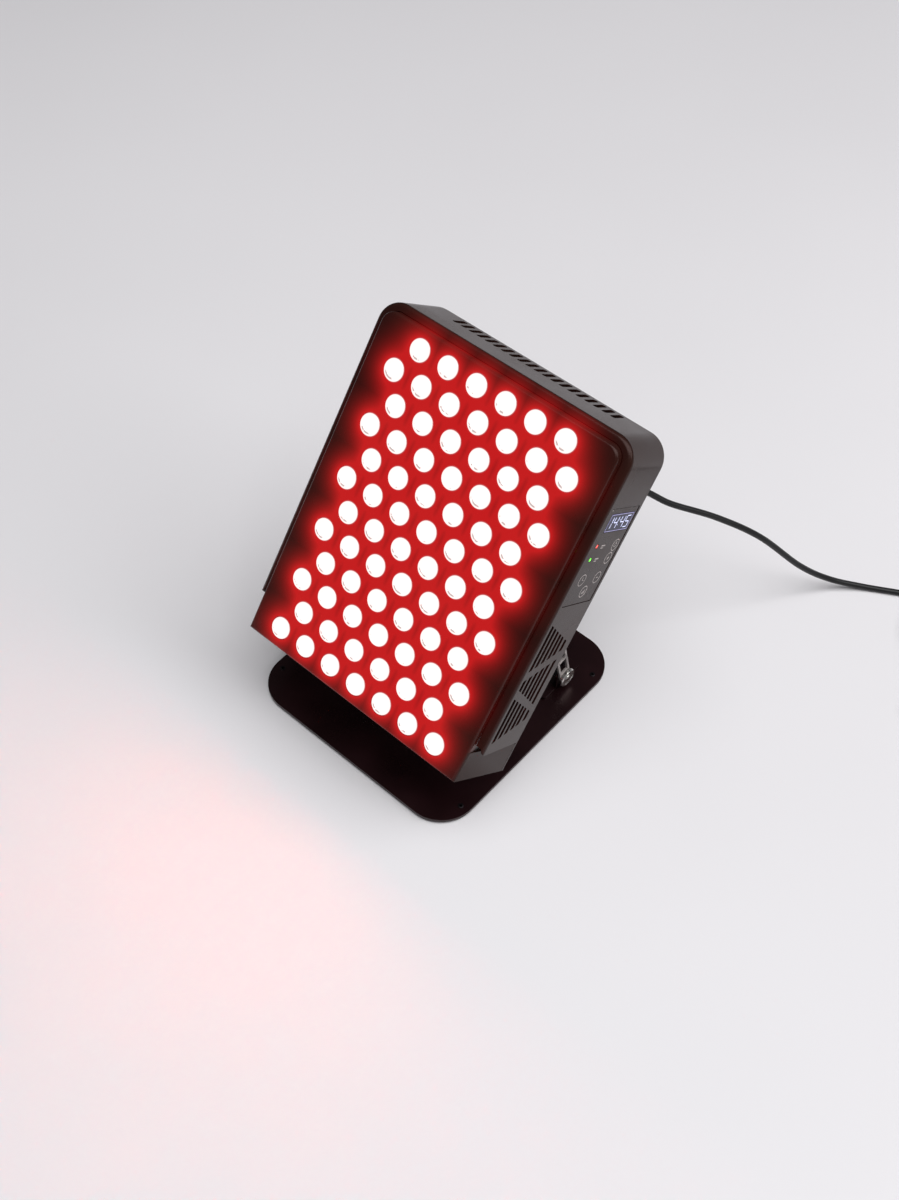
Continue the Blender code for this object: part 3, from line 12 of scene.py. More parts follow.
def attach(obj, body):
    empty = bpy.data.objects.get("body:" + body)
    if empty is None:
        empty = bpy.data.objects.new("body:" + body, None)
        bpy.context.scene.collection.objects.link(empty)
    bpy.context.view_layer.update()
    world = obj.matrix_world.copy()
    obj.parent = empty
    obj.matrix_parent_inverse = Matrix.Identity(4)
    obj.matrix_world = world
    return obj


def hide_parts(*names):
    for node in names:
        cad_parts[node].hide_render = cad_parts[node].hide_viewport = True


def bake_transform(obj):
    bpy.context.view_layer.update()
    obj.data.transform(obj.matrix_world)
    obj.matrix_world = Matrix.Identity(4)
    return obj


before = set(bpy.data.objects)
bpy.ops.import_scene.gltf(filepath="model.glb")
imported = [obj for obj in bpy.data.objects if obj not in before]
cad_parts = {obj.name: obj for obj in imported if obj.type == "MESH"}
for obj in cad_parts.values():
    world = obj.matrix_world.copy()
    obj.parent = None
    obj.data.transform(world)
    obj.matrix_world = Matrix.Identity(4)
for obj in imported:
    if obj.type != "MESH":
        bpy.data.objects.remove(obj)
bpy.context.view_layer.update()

# Camera: a 43 mm lens held high in front on the right, tipped a little to one side,
# as in the photograph. The object sits a bit above the middle of an upright picture.
camera = bpy.data.objects.new("camera", bpy.data.cameras.new("camera"))
camera.location = (0.41825, -0.51103, 0.93756)
camera.rotation_euler = [math.radians(angle) for angle in (38.116, -1.759, 40.993)]
camera.data.lens = 43.36
camera.data.clip_start = 0.02
bpy.context.scene.collection.objects.link(camera)
bpy.context.scene.camera = camera
bpy.context.scene.view_settings.view_transform = "Standard"


# Mains cord, 5 mm round black PVC. It leaves the inlet behind the panel, hangs down to the floor
# and runs out of the picture to its coil and plug.
def paint(code):
    """An sRGB hex colour as the linear values that a shader takes."""
    channels = [int(code[place:place + 2], 16) / 255 for place in (1, 3, 5)]
    return [c / 12.92 if c <= 0.04045 else ((c + 0.055) / 1.055) ** 2.4 for c in channels] + [1.0]


def feed(node, inputs):
    """Gives each of a node's sockets a value, or the output that feeds it."""
    for socket, value in inputs.items():
        if isinstance(value, bpy.types.NodeSocket):
            node.id_data.links.new(value, node.inputs[socket])
        else:
            node.inputs[socket].default_value = value


def add_node(tree, kind, inputs=None, **settings):
    """Adds a shader node with its settings and inputs."""
    made = tree.nodes.new("ShaderNode" + kind)
    for name, value in settings.items():
        setattr(made, name, value)
    feed(made, inputs or {})
    return made


def inside(finish):
    """A finish's node tree and the shader in it."""
    return finish.node_tree, finish.node_tree.nodes["Principled BSDF"]


def add_grain(tree, shader, size, strength, stretch=(1.0, 1.0, 1.0)):
    """Gives the surface a fine relief whose grains are size metres apart."""
    where = add_node(tree, "TexCoord").outputs["Object"]
    placed = add_node(tree, "Mapping", {"Vector": where, "Scale": stretch})
    grain = {"Vector": placed.outputs[0], "Scale": 1 / size, "Detail": 2.0}
    noise = add_node(tree, "TexNoise", grain)
    relief = {"Height": noise.outputs[0], "Strength": strength, "Distance": 0.0002}
    feed(shader, {"Normal": add_node(tree, "Bump", relief).outputs[0]})


def add_shades(tree, shader, dark, light, size, rough=None):
    """Lets colour, and roughness if given, wander between two values over patches of a size."""
    where = add_node(tree, "TexCoord").outputs["Object"]
    noise = add_node(tree, "TexNoise", {"Vector": where, "Scale": 1 / size, "Detail": 3.0})
    spread = {"Value": noise.outputs[0], "From Min": 0.35, "From Max": 0.65}
    share = add_node(tree, "MapRange", spread)
    shades = {0: share.outputs[0], 6: paint(dark), 7: paint(light)}
    feed(shader, {"Base Color": add_node(tree, "Mix", shades, data_type="RGBA").outputs[2]})
    if rough:
        level = add_node(tree, "MapRange", {**spread, "To Min": rough[0], "To Max": rough[1]})
        feed(shader, {"Roughness": level.outputs[0]})


def new_finish(name, colour, roughness, metallic=0.0, grain=None, shades=None, sockets=None):
    """A finish: grain and shades hold what add_grain and add_shades take after the shader."""
    finish = bpy.data.materials.new(name)
    finish.use_nodes = True
    tree, shader = inside(finish)
    feed(shader, {"Base Color": paint(colour), "Roughness": roughness, "Metallic": metallic})
    feed(shader, sockets or {})
    if grain:
        add_grain(tree, shader, *grain)
    if shades:
        add_shades(tree, shader, *shades)
    return finish


def finish_piece(shape, name, finish, body, place=None, sharp=35):
    """Turns a bmesh into an object whose place is in its mesh, and lets it ride on its body."""
    if place:
        shape.transform(place)
    mesh = bpy.data.meshes.new(name)
    shape.to_mesh(mesh)
    shape.free()
    mesh.shade_smooth()
    mesh.set_sharp_from_angle(angle=math.radians(sharp))
    mesh.materials.append(finish)
    piece = bpy.data.objects.new(name, mesh)
    bpy.context.scene.collection.objects.link(piece)
    if body:
        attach(piece, body)
    return piece


# Flexible PVC: an even black with a soft sheen. The extruder's drag lines are about half a
# millimetre apart, drawn at 1.2 mm so that they show.
cord_jacket = new_finish("black_pvc_cord_jacket", "#111112", 0.42, grain=(0.0012, 0.12),
                         shades=("#0d0d0e", "#161617", 0.03), sockets={"IOR": 1.4})

panel_lean = math.radians(35.6)
top_row_middle = Vector((0.0, 0.042531, 0.275118))
panel_place = Matrix.Translation(top_row_middle) @ Matrix.Rotation(-panel_lean, 4, "X")

cord_diameter = 0.005
cord_height = 0.0026
inlet_x, inlet_z = 0.062, -0.05
boot_tip_depth, boot_length = 0.1109, 0.032
boot_tip = panel_place @ Vector((inlet_x, boot_tip_depth, inlet_z))
boot_heading = panel_place.to_3x3() @ Vector((0.0, 1.0, 0.0))
cord_route = (
    (0.065, 0.149, 0.1448),
    (0.083, 0.168, 0.1275),
    (0.109, 0.1976, 0.107),
    (0.136, 0.227, 0.080),
    (0.163, 0.260, 0.037),
    (0.182, 0.284, 0.014),
    (0.204, 0.304, 0.0042),
)
cord_join = Vector(cord_route[2])
coil_leaves = Vector((0.231, 0.321, cord_height))
coil_heading = math.radians(30)
coil_run_in = 0.05
fit_gap, straight_end = 0.0003, 0.0143
coil_outer = 0.04
coil_pitch = 0.0055
coil_half_turns = 14.75
coil_turn_points = 36
tiny = 1e-6


def even_points(fine, step):
    """Points a step apart along a line that is given as many close points."""
    reach = [0.0]
    for first, second in zip(fine, fine[1:]):
        reach.append(reach[-1] + (second - first).length)
    count = max(2, round(reach[-1] / step))
    made, place = [], 0
    for number in range(count + 1):
        target = reach[-1] * number / count
        while place < len(fine) - 2 and reach[place + 1] < target:
            place += 1
        share = (target - reach[place]) / (reach[place + 1] - reach[place])
        made.append(fine[place].lerp(fine[place + 1], share))
    return made


def smooth_line(points, step):
    """Even points along a smooth curve through the given points."""
    fine = []
    ends = [points[0] * 2 - points[1]] + points + [points[-1] * 2 - points[-2]]
    for before, first, second, after in zip(ends, ends[1:], ends[2:], ends[3:]):
        for part in range(24):
            t = part / 24
            bend = before * (2 * t * t - t - t**3) + first * (3 * t**3 - 5 * t * t + 2)
            bend += second * (4 * t * t + t - 3 * t**3) + after * (t**3 - t * t)
            fine.append(bend / 2)
    return even_points(fine + [points[-1]], step)


def swept_cord(name, points, body=None):
    """A stretch of the cord, swept along the points by a curve's bevel and made a closed mesh."""
    curve = bpy.data.curves.new(name, "CURVE")
    curve.dimensions = "3D"
    curve.bevel_depth = cord_diameter / 2
    curve.bevel_resolution = 4
    curve.use_fill_caps = True
    spline = curve.splines.new("POLY")
    spline.points.add(len(points) - 1)
    for held, point in zip(spline.points, points):
        held.co = (*point, 1.0)
    swept = bpy.data.objects.new(name + "_sweep", curve)
    bpy.context.scene.collection.objects.link(swept)
    graph = bpy.context.evaluated_depsgraph_get()
    shape = bmesh.new()
    shape.from_mesh(bpy.data.meshes.new_from_object(swept.evaluated_get(graph)))
    bpy.data.objects.remove(swept)
    bmesh.ops.remove_doubles(shape, verts=shape.verts, dist=tiny)
    bmesh.ops.recalc_face_normals(shape, faces=shape.faces)
    return finish_piece(shape, name, cord_jacket, body, sharp=60)


def coil_line():
    """The put-away length: it spirals in along the floor, climbs one layer and spirals out."""
    along = Vector((math.cos(coil_heading), math.sin(coil_heading), 0.0))
    right = Vector((along.y, -along.x, 0.0))
    start = coil_leaves + along * coil_run_in
    centre = start + right * coil_outer
    first_angle = math.atan2(-right.y, -right.x)
    sweep = coil_half_turns * math.pi
    count = round(coil_half_turns / 2 * coil_turn_points)
    points = [start - along * cord_diameter]
    for number in range(count + 1):
        wound = sweep * number / count
        inward = min(wound, sweep - wound) / math.tau * coil_pitch
        climb = min(1.0, max(0.0, (wound - sweep / 2) / math.pi + 0.5))
        rise = coil_pitch * climb * climb * (3 - 2 * climb)
        angle = first_angle - wound
        spoke = Vector((math.cos(angle), math.sin(angle), 0.0)) * (coil_outer - inward)
        points.append(centre + spoke + Vector((0.0, 0.0, rise)))
    heading = Vector((math.sin(angle), -math.cos(angle), 0.0))
    points.append(points[-1] + heading * cord_diameter)
    return points, heading


coil_points, plug_heading = coil_line()
route = [boot_tip + boot_heading * fit_gap, boot_tip + boot_heading * straight_end]
route += [Vector(point) for point in cord_route] + [coil_leaves, coil_points[0]]
cord_line = smooth_line(route, 0.004)
split = min(range(len(cord_line)), key=lambda place: (cord_line[place] - cord_join).length)
upper_line = cord_line[:split + 1]
lower_line = cord_line[split:]

upper_cord = swept_cord("power_cord_upper_stretch", upper_line)
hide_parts("upper_power_cord")
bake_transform(upper_cord)
lower_cord = swept_cord("power_cord_lower_stretch", lower_line)
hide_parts("power_cord")
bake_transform(lower_cord)
coiled_cord = swept_cord("power_cord_coiled_stretch", coil_points, "base")
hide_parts("power_cord_coil")


# Moulded ends of the cord: a ribbed strain relief behind the connector and another on the flat
# two-pin plug, all in black PVC shot round the cord.
def add_part(shape, part, place=Matrix()):
    """Adds a finished part to a shape, at its place."""
    part.transform(place)
    held = bpy.data.meshes.new("part")
    part.to_mesh(held)
    part.free()
    shape.from_mesh(held)
    bpy.data.meshes.remove(held)


def turned(profile, steps):
    """A closed round body: (radius, height) points spun round Z."""
    body = bmesh.new()
    verts = [body.verts.new((radius, 0.0, height)) for radius, height in profile]
    edges = [body.edges.new(pair) for pair in zip(verts, verts[1:])]
    bmesh.ops.spin(body, geom=verts + edges, cent=(0.0, 0.0, 0.0), axis=(0.0, 0.0, 1.0),
                   angle=math.tau, steps=steps, use_merge=True)
    bmesh.ops.remove_doubles(body, verts=body.verts, dist=tiny)
    bmesh.ops.recalc_face_normals(body, faces=body.faces)
    return body


def facing(point, direction, up=(0.0, 0.0, 1.0)):
    """A place whose Z axis points along direction and whose Y axis leans towards up."""
    out = Vector(direction).normalized()
    right = Vector(up).cross(out).normalized()
    turn = Matrix((right, out.cross(right), out)).transposed().to_4x4()
    return Matrix.Translation(point) @ turn


def round_edges(shape, edges, width, steps):
    """Rounds the edges by a width in some steps. One step makes a chamfer."""
    bmesh.ops.bevel(shape, geom=edges, offset=width, segments=steps, profile=0.5,
                    affect="EDGES", material=-1)


def rounded_box(size, corner, edge, corner_steps=6, edge_steps=3):
    """A box about the origin whose upright edges are rounded, and then the rims of its ends."""
    shape = bmesh.new()
    bmesh.ops.create_cube(shape, size=1.0, matrix=Matrix.Diagonal((*size, 1.0)))
    upright = [e for e in shape.edges if abs(e.verts[0].co.z - e.verts[1].co.z) > size[2] / 2]
    round_edges(shape, upright, corner, corner_steps)
    rims = [e for e in shape.edges if abs(e.verts[0].co.z - e.verts[1].co.z) < size[2] / 2]
    round_edges(shape, rims, edge, edge_steps)
    return shape


def stand_for(node):
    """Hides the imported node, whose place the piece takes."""
    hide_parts(node)


# Moulded PVC of the plug, connector and boots: the same black with a coarser satin, from the
# eroded faces of the mould. Its 0.3 mm pits are drawn at 0.9 mm.
moulded_pvc = new_finish("moulded_black_pvc", "#131314", 0.5, grain=(0.0009, 0.2),
                         shades=("#0f0f10", "#19191a", 0.012, (0.42, 0.56)))


def ribbed_boot(name, length, root_radius, tip_radius, ribs, place, body, node):
    """A strain relief that tapers along +Z, cut into rings so that it bends with the cord."""
    profile = [(0.0, 0.0), (root_radius - 0.0004, 0.0), (root_radius, 0.0004)]
    for rib in range(ribs):
        for share, drop in ((0.12, 0.0), (0.68, 0.0), (0.76, 0.0010), (1.04, 0.0010)):
            along = (rib + share) / ribs
            radius = root_radius + (tip_radius - root_radius) * along
            profile.append((radius - drop * (1 - 0.6 * along), length * along * 0.95))
    profile += [(tip_radius, length * 0.995), (tip_radius - 0.0004, length), (0.0, length)]
    boot = finish_piece(turned(profile, 32), name, moulded_pvc, body, place, sharp=50)
    stand_for(node)
    return boot


boot_root_depth = boot_tip_depth - boot_length
boot_root = panel_place @ Vector((inlet_x, boot_root_depth, inlet_z))
inlet_boot = ribbed_boot("strain_relief_at_the_inlet", boot_length, 0.0052, 0.0033, 7,
                         facing(boot_root, boot_heading), "panel", "connector_boot")
plug_start, relief_length = coil_points[-1], 0.026
relief_root = plug_start + plug_heading * (relief_length + fit_gap)
plug_relief = ribbed_boot("strain_relief_at_the_plug", relief_length, 0.0040, 0.0033, 6,
                          facing(relief_root, -plug_heading), "base", "plug_boot")

plug_length, plug_width, plug_waist = 0.035, 0.026, 0.008
plug_tall = plug_start.z - fit_gap
plug_middle = relief_length + 2 * fit_gap + plug_length / 2
plug_shape = bmesh.new()
block = rounded_box((plug_width, plug_length, 2 * plug_tall), 0.005, 0.002)
for vert in block.verts:
    narrowing = min(1.0, max(0.0, 0.5 - vert.co.y / plug_length * 1.6))
    vert.co.x *= 1 - plug_waist / plug_width * narrowing
add_part(plug_shape, block, Matrix.Translation((0.0, plug_middle, 0.0)))
for side in (-1, 1):
    profile = [(0.0, 0.0), (0.0019, 0.0), (0.0019, 0.010), (0.002, 0.0102), (0.002, 0.0192)]
    profile += [(0.0013, 0.02), (0.0, 0.02)]
    pin = facing((side * 0.0095, plug_middle + plug_length / 2 - 0.001, 0.0), (0, 1, 0))
    add_part(plug_shape, turned(profile, 20), pin)
plug = finish_piece(plug_shape, "two_pin_plug", moulded_pvc, "base",
                    facing(plug_start, (0, 0, 1), plug_heading))
stand_for("plug_body")

grip_length = 0.016
grip_depth = boot_root_depth - fit_gap - grip_length / 2
grip = rounded_box((0.0218, 0.0118, grip_length), 0.002, 0.0012)
for vert in grip.verts:
    if vert.co.z > 0:
        vert.co.x *= 0.8
connector = finish_piece(grip, "appliance_connector", moulded_pvc, "panel",
                         panel_place @ facing((inlet_x, grip_depth, inlet_z), (0, 1, 0)))
stand_for("cord_connector")


# Base: one plate of 3 mm steel, laser cut with round corners and painted satin black, which
# stands on four rubber pads screwed on from above.
def add_ring(shape, corners, radius=0.0, steps=6):
    """Adds a closed ring of edges through the corners, each rounded to the radius."""
    ring = bmesh.new()
    ring.faces.new([ring.verts.new((*corner, 0.0)[:3]) for corner in corners])
    if radius:
        bmesh.ops.bevel(ring, geom=ring.verts[:], offset=radius, segments=steps, profile=0.5,
                        affect="VERTICES", material=-1)
    bmesh.ops.delete(ring, geom=ring.faces[:], context="FACES_ONLY")
    add_part(shape, ring)


def box_ring(x, y):
    """The corners of an upright rectangle, from its (low, high) across and up."""
    return [(x[0], y[0]), (x[1], y[0]), (x[1], y[1]), (x[0], y[1])]


def arc(centre, radius, start, turn, steps):
    """Points along a part of a circle, from one end to the other."""
    turns = [start + turn * step / steps for step in range(steps + 1)]
    return [(centre[0] + radius * math.cos(t), centre[1] + radius * math.sin(t)) for t in turns]


def round_ring(centre, radius, steps=24):
    """Points of a circle."""
    return arc(centre, radius, 0.0, math.tau, steps)[:-1]


def cut_sheet(outline, openings, thickness):
    """A flat sheet cut to an outline with openings. It lies on the XY plane, thickness high."""
    shape = bmesh.new()
    for ring in (outline, *openings):
        add_ring(shape, *ring)
    bmesh.ops.triangle_fill(shape, use_beauty=True, use_dissolve=False, edges=shape.edges[:],
                            normal=(0.0, 0.0, 1.0))
    grown = bmesh.ops.extrude_face_region(shape, geom=shape.faces[:])["geom"]
    moved = [item for item in grown if isinstance(item, bmesh.types.BMVert)]
    bmesh.ops.translate(shape, verts=moved, vec=(0.0, 0.0, thickness))
    bmesh.ops.recalc_face_normals(shape, faces=shape.faces)
    return shape


def break_edges(piece, width, segments=2, angle=40):
    """Rounds the piece's sharp edges a little, as deburring and paint do."""
    step = piece.modifiers.new("broken_edges", "BEVEL")
    step.width = width
    step.segments = segments
    step.limit_method = "ANGLE"
    step.angle_limit = math.radians(angle)
    step.harden_normals = True


base_half_x, base_half_y, base_low, base_top = 0.100, 0.10625, 0.002, 0.005

# Satin black paint over steel: deep and even, with a faint orange peel about 2 mm across and a
# few lighter patches where it is rubbed. Its red cast and the red tint of its reflections are
# painted red light of the lights.
base_paint = new_finish("satin_black_paint", "#190a0c", 0.30, grain=(0.002, 0.08),
                        shades=("#15080a", "#1e0c0f", 0.05, (0.26, 0.34)),
                        sockets={"IOR": 1.36, "Specular Tint": (0.95, 0.70, 0.70, 1.0)})

outline = (box_ring((-base_half_x, base_half_x), (-base_half_y, base_half_y)), 0.030, 16)
base_plate = finish_piece(cut_sheet(outline, [], base_top - base_low), "steel_base_plate",
                          base_paint, "base", Matrix.Translation((0.0, 0.0, base_low)))
break_edges(base_plate, 0.0005, 3)
stand_for("base_plate")

# Rubber: dull black with a fine bloom.
pad_rubber = new_finish("black_rubber", "#171717", 0.8, grain=(0.0006, 0.25),
                        shades=("#131313", "#1e1e1e", 0.004))

# Blackened steel of the base's screws and pivot nuts: dark, with a weak metal sheen.
black_screw = new_finish("blackened_steel", "#1c1719", 0.38, 0.8, grain=(0.0005, 0.1),
                         shades=("#181416", "#282225", 0.003, (0.3, 0.45)))

for side, hand in ((-1, "left"), (1, "right")):
    for end, end_name in ((-1, "front"), (1, "back")):
        spot = Vector((side * 0.0925, end * 0.07995, 0.0))
        profile = [(0.0019, 0.0008), (0.0036, 0.0008), (0.0038, 0.0), (0.0054, 0.0)]
        profile += [(0.006, 0.0005), (0.0058, 0.0017), (0.0019, 0.0017), (0.0019, 0.0008)]
        pad = finish_piece(turned(profile, 32), f"rubber_foot_{end_name}_{hand}", pad_rubber,
                           "base", Matrix.Translation(spot))
        stand_for(f"{end_name}_{hand}_pad")
        profile = [(0.0, 0.0013), (0.0016, 0.0013), (0.0016, 0.0052), (0.0022, 0.0053)]
        profile += [(0.0021, 0.0055), (0.0016, 0.0057), (0.0010, 0.0057), (0.0008, 0.0050)]
        profile += [(0.0, 0.0050)]
        screw = finish_piece(turned(profile, 24), f"foot_screw_{end_name}_{hand}", black_screw,
                             "base", Matrix.Translation(spot))
        stand_for(f"{end_name}_{hand}_pad_screw")


# Hinge lugs: small angles of 2 mm steel painted with the base, each held on it by two blackened
# pan head screws, with a nut behind its ear for the pivot.
def pan_head_screw(name, seat, out, length, body, node, finish):
    """A cross-recess pan head screw: out points away from the work, and the head is on seat."""
    head, rise = 0.0028, 0.0018
    flat = head * 0.68
    shape = turned([(0.0, -length), (0.0014, -length), (0.0014, 0.0), (head, 0.0),
                    (head, rise * 0.35), (head * 0.93, rise * 0.66), (flat, rise * 0.72),
                    (0.0, rise * 0.72)], 24)
    arm, half = head * 0.46, head * 0.13
    cross = [(half, half), (half, arm), (-half, arm), (-half, half), (-arm, half), (-arm, -half),
             (-half, -half), (-half, -arm), (half, -arm), (half, -half), (arm, -half), (arm, half)]
    crown = cut_sheet((round_ring((0.0, 0.0), flat), 0.0), [(cross, 0.0)], rise * 0.3)
    for vert in crown.verts:
        if vert.co.z > 0 and vert.co.xy.length > flat * 0.9:
            vert.co.xy *= 0.86
    add_part(shape, crown, Matrix.Translation((0.0, 0.0, rise * 0.7)))
    up = (0.0, 1.0, 0.0) if abs(Vector(out).normalized().z) > 0.9 else (0.0, 0.0, 1.0)
    screw = finish_piece(shape, name, finish, body, facing(seat, out, up))
    if node:
        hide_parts(node)


def angle_bracket(foot_size, foot_holes, side, ear_radius, rise):
    """A steel angle: its foot lies on XY, and its ear stands at x = 0 with the foot inside it."""
    shape = bmesh.new()
    reach = tuple(sorted((0.0, -side * foot_size[0])))
    half_y = foot_size[1] / 2
    outline = (box_ring(reach, (-half_y, half_y)), 0.002, 4)
    holes = [(round_ring(place, 0.0017, 16), 0.0) for place in foot_holes]
    add_part(shape, cut_sheet(outline, holes, bracket_sheet))
    ear = [(-ear_radius, 0.0), (ear_radius, 0.0)]
    ear += arc((0.0, rise), ear_radius, 0.0, math.pi, 16)
    pivot = (round_ring((0.0, rise), pin_hole), 0.0)
    upright = cut_sheet((ear, 0.0), [pivot], bracket_sheet)
    start = 0.0 if side < 0 else -bracket_sheet
    add_part(shape, upright, facing((start, 0.0, 0.0), (1, 0, 0)))
    return shape


pivot_y, pivot_z = 0.057, 0.017
lug_outer_x, pin_radius, pin_hole = 0.0797, 0.0028, 0.0031
bracket_sheet = 0.002

for side, hand in ((-1, "left"), (1, "right")):
    holes = [(-side * 0.0085, along) for along in (-0.015, 0.015)]
    lug_place = Matrix.Translation((side * lug_outer_x, pivot_y, base_top + fit_gap))
    shape = angle_bracket((0.015, 0.044), holes, side, 0.008, pivot_z - base_top - fit_gap)
    lug = finish_piece(shape, f"hinge_angle_{hand}", base_paint, "base", lug_place)
    break_edges(lug, 0.0003)
    stand_for(f"{hand}_hinge_lug")
    for along, end in ((-0.015, "front"), (0.015, "back")):
        seat = (side * 0.0712, pivot_y + along, base_top + bracket_sheet + 2 * fit_gap)
        pan_head_screw(f"hinge_screw_{end}_{hand}", seat, (0, 0, 1), 0.005, "base",
                       f"{hand}_{end}_lug_screw", black_screw)


# Hex nuts, chamfered on their outer face. A blackened pair clamps the lower pivot, and later a
# zinc-plated pair the tilt joint on the panel's ears.
def hex_block(radius, height, openings, steps):
    """A hexagonal block whose outer face has softened edges."""
    shape = cut_sheet((round_ring((0.0, 0.0), radius, 6), 0.0), openings, height)
    rims = [e for e in shape.edges if e.calc_face_angle(0.0) > 0.5 and all(
        v.co.z > height / 2 and v.co.xy.length > radius * 0.8 for v in e.verts)]
    round_edges(shape, rims, 0.0005, steps)
    return shape


nut_thickness = 0.0045


def hex_nut(name, start, out, body, node, finish):
    """A nut that grows along out from start, with a chamfered outer face."""
    shape = hex_block(0.0054, nut_thickness, [(round_ring((0.0, 0.0), pin_hole), 0.0)], 1)
    nut = finish_piece(shape, name, finish, body, facing(start, out))
    stand_for(node)


lug_inner_x = lug_outer_x - bracket_sheet
for side, hand in ((-1, "left"), (1, "right")):
    start = Vector((side * (lug_inner_x - fit_gap), pivot_y, pivot_z))
    hex_nut(f"pivot_hex_nut_{hand}", start, (-side, 0, 0), "base", f"{hand}_pivot_nut",
            black_screw)


# Arms: two straps of 2 mm steel punched with a ladder of five windows and painted pale grey.
# They swing on the base's lugs and carry the panel's ears at their upper ends.
arm_lean = math.radians(15.05)
arm_place = Matrix.Translation((0.0, pivot_y, pivot_z)) @ Matrix.Rotation(arm_lean, 4, "X")
arm_length, strap_half, strap_bar, strap_web = 0.119, 0.00575, 0.002, 0.0022
window_low, window_high, window_count = 0.009, 0.007, 5
strap_inner_x, strap_thickness = 0.0800, 0.002

# Pale grey enamel over steel: smooth, with a fine grit and slightly darker handled patches.
strap_enamel = new_finish("pale_grey_enamel", "#a49c9a", 0.36, 0.35, grain=(0.0012, 0.1),
                          shades=("#948c8a", "#b2aba8", 0.012, (0.3, 0.44)))

strap_ends = arc((0.0, 0.0), strap_half, math.pi, math.pi, 16)
strap_ends += arc((0.0, arm_length), strap_half, 0.0, math.pi, 16)
pitch = (arm_length - window_low - window_high + strap_web) / window_count
strap_openings = []
for window in range(window_count):
    low = window_low + window * pitch
    reach = (-(strap_half - strap_bar), strap_half - strap_bar)
    strap_openings.append((box_ring(reach, (low, low + pitch - strap_web)), 0.0007, 3))
for height in (0.0, arm_length):
    strap_openings.append((round_ring((0.0, height), pin_hole), 0.0))
for side, hand in ((-1, "left"), (1, "right")):
    low_x = strap_inner_x if side > 0 else -strap_inner_x - strap_thickness
    strap = finish_piece(cut_sheet((strap_ends, 0.0), strap_openings, strap_thickness),
                         f"punched_arm_{hand}", strap_enamel, "arm",
                         arm_place @ facing((low_x, 0.0, 0.0), (1, 0, 0)))
    break_edges(strap, 0.0003)
    stand_for(f"{hand}_arm_strap")

# Pivot knobs: turned and nickel-plated discs on 5.6 mm shafts that pass through strap, lug and
# nut. The face is dished by the lathe and the rim is knurled for the fingers.
nickel = new_finish("turned_nickel_plated_steel", "#cfcdc9", 0.28, 1.0,
                    shades=("#c3c1bd", "#dddbd8", 0.006, (0.22, 0.34)))
tree, shader = inside(nickel)
where = add_node(tree, "TexCoord").outputs["Object"]
centred = add_node(tree, "Mapping", {"Vector": where, "Location": (0.0, -pivot_y, -pivot_z)})
# The lathe's rings lie about 0.1 mm apart, drawn at 0.5 mm.
rings = add_node(tree, "TexWave", {"Vector": centred.outputs[0], "Scale": 640.0},
                 wave_type="RINGS", rings_direction="X")
bump = add_node(tree, "Bump", {"Height": rings.outputs[1], "Strength": 0.06, "Distance": 0.0002})
feed(shader, {"Normal": bump.outputs[0]})

knob_radius, knob_in, knob_thick, shaft_past_nut = 0.008, 0.0823, 0.0026, 0.0012
shaft_end = lug_inner_x - fit_gap - nut_thickness - shaft_past_nut
shaft = [(0.0, shaft_end), (pin_radius - 0.0004, shaft_end), (pin_radius, shaft_end + 0.0004)]
shaft += [(pin_radius, knob_in)]
for side, hand in ((-1, "left"), (1, "right")):
    face_x = knob_in + knob_thick
    profile = shaft + [(knob_radius - 0.0008, knob_in), (knob_radius, knob_in + 0.0006)]
    profile += [(knob_radius, face_x - 0.0007), (knob_radius - 0.0007, face_x)]
    profile += [(0.0066, face_x), (0.0062, face_x - 0.0003), (0.0026, face_x - 0.0007)]
    profile += [(0.0023, face_x - 0.0002), (0.0, face_x - 0.0001)]
    shape = turned(profile, 128)
    for vert in shape.verts:
        turn = math.atan2(vert.co.y, vert.co.x)
        if vert.co.xy.length > knob_radius - 0.0002:
            vert.co.xy *= 1 - 0.018 * (0.5 + 0.5 * math.cos(turn * 32))
    knob = finish_piece(shape, f"clamping_knob_{hand}", nickel, f"{hand}_pivot_knob",
                        facing((0.0, pivot_y, pivot_z), (side, 0, 0)), sharp=30)
    stand_for(f"{hand}_knob")


# Front case: a tray of 1.5 mm steel whose face is punched with 78 holes, folded with a soft
# front edge and a narrow lip behind, and powder coated black.
def fill_round(shape, rim, openings, to_face, looks):
    """Fills a flat rim with faces that look one way, round openings cut in it."""
    places = {tuple(sorted(tuple(vert.co) for vert in edge.verts)) for edge in rim}
    for corners, radius, *steps in openings:
        corners = [(to_face @ Vector((*corner, 0.0)))[:] for corner in corners]
        add_ring(shape, corners, radius, *steps)
    edges = [edge for edge in shape.edges if edge.is_wire
             or tuple(sorted(tuple(vert.co) for vert in edge.verts)) in places]
    bmesh.ops.triangle_fill(shape, use_beauty=True, use_dissolve=False, edges=edges, normal=looks)


def pierce(shape, direction, openings, to_face):
    """Refills the largest flat face that looks along direction, round openings cut in it."""
    looks = Vector(direction)
    faces = [f for f in shape.faces if f.normal.dot(looks) > 0.999]
    face = max(faces, key=lambda f: f.calc_area())
    rim = face.edges[:]
    bmesh.ops.delete(shape, geom=[face], context="FACES_ONLY")
    fill_round(shape, rim, openings, to_face, looks)


def plane_across(axis, level):
    """Takes a flat drawing to the plane that stands across an axis at a level."""
    rows = [(1, 0, 0, 0), (0, 1, 0, 0)]
    rows.insert(axis, (0, 0, 0, level))
    return Matrix((*rows, (0, 0, 0, 1)))


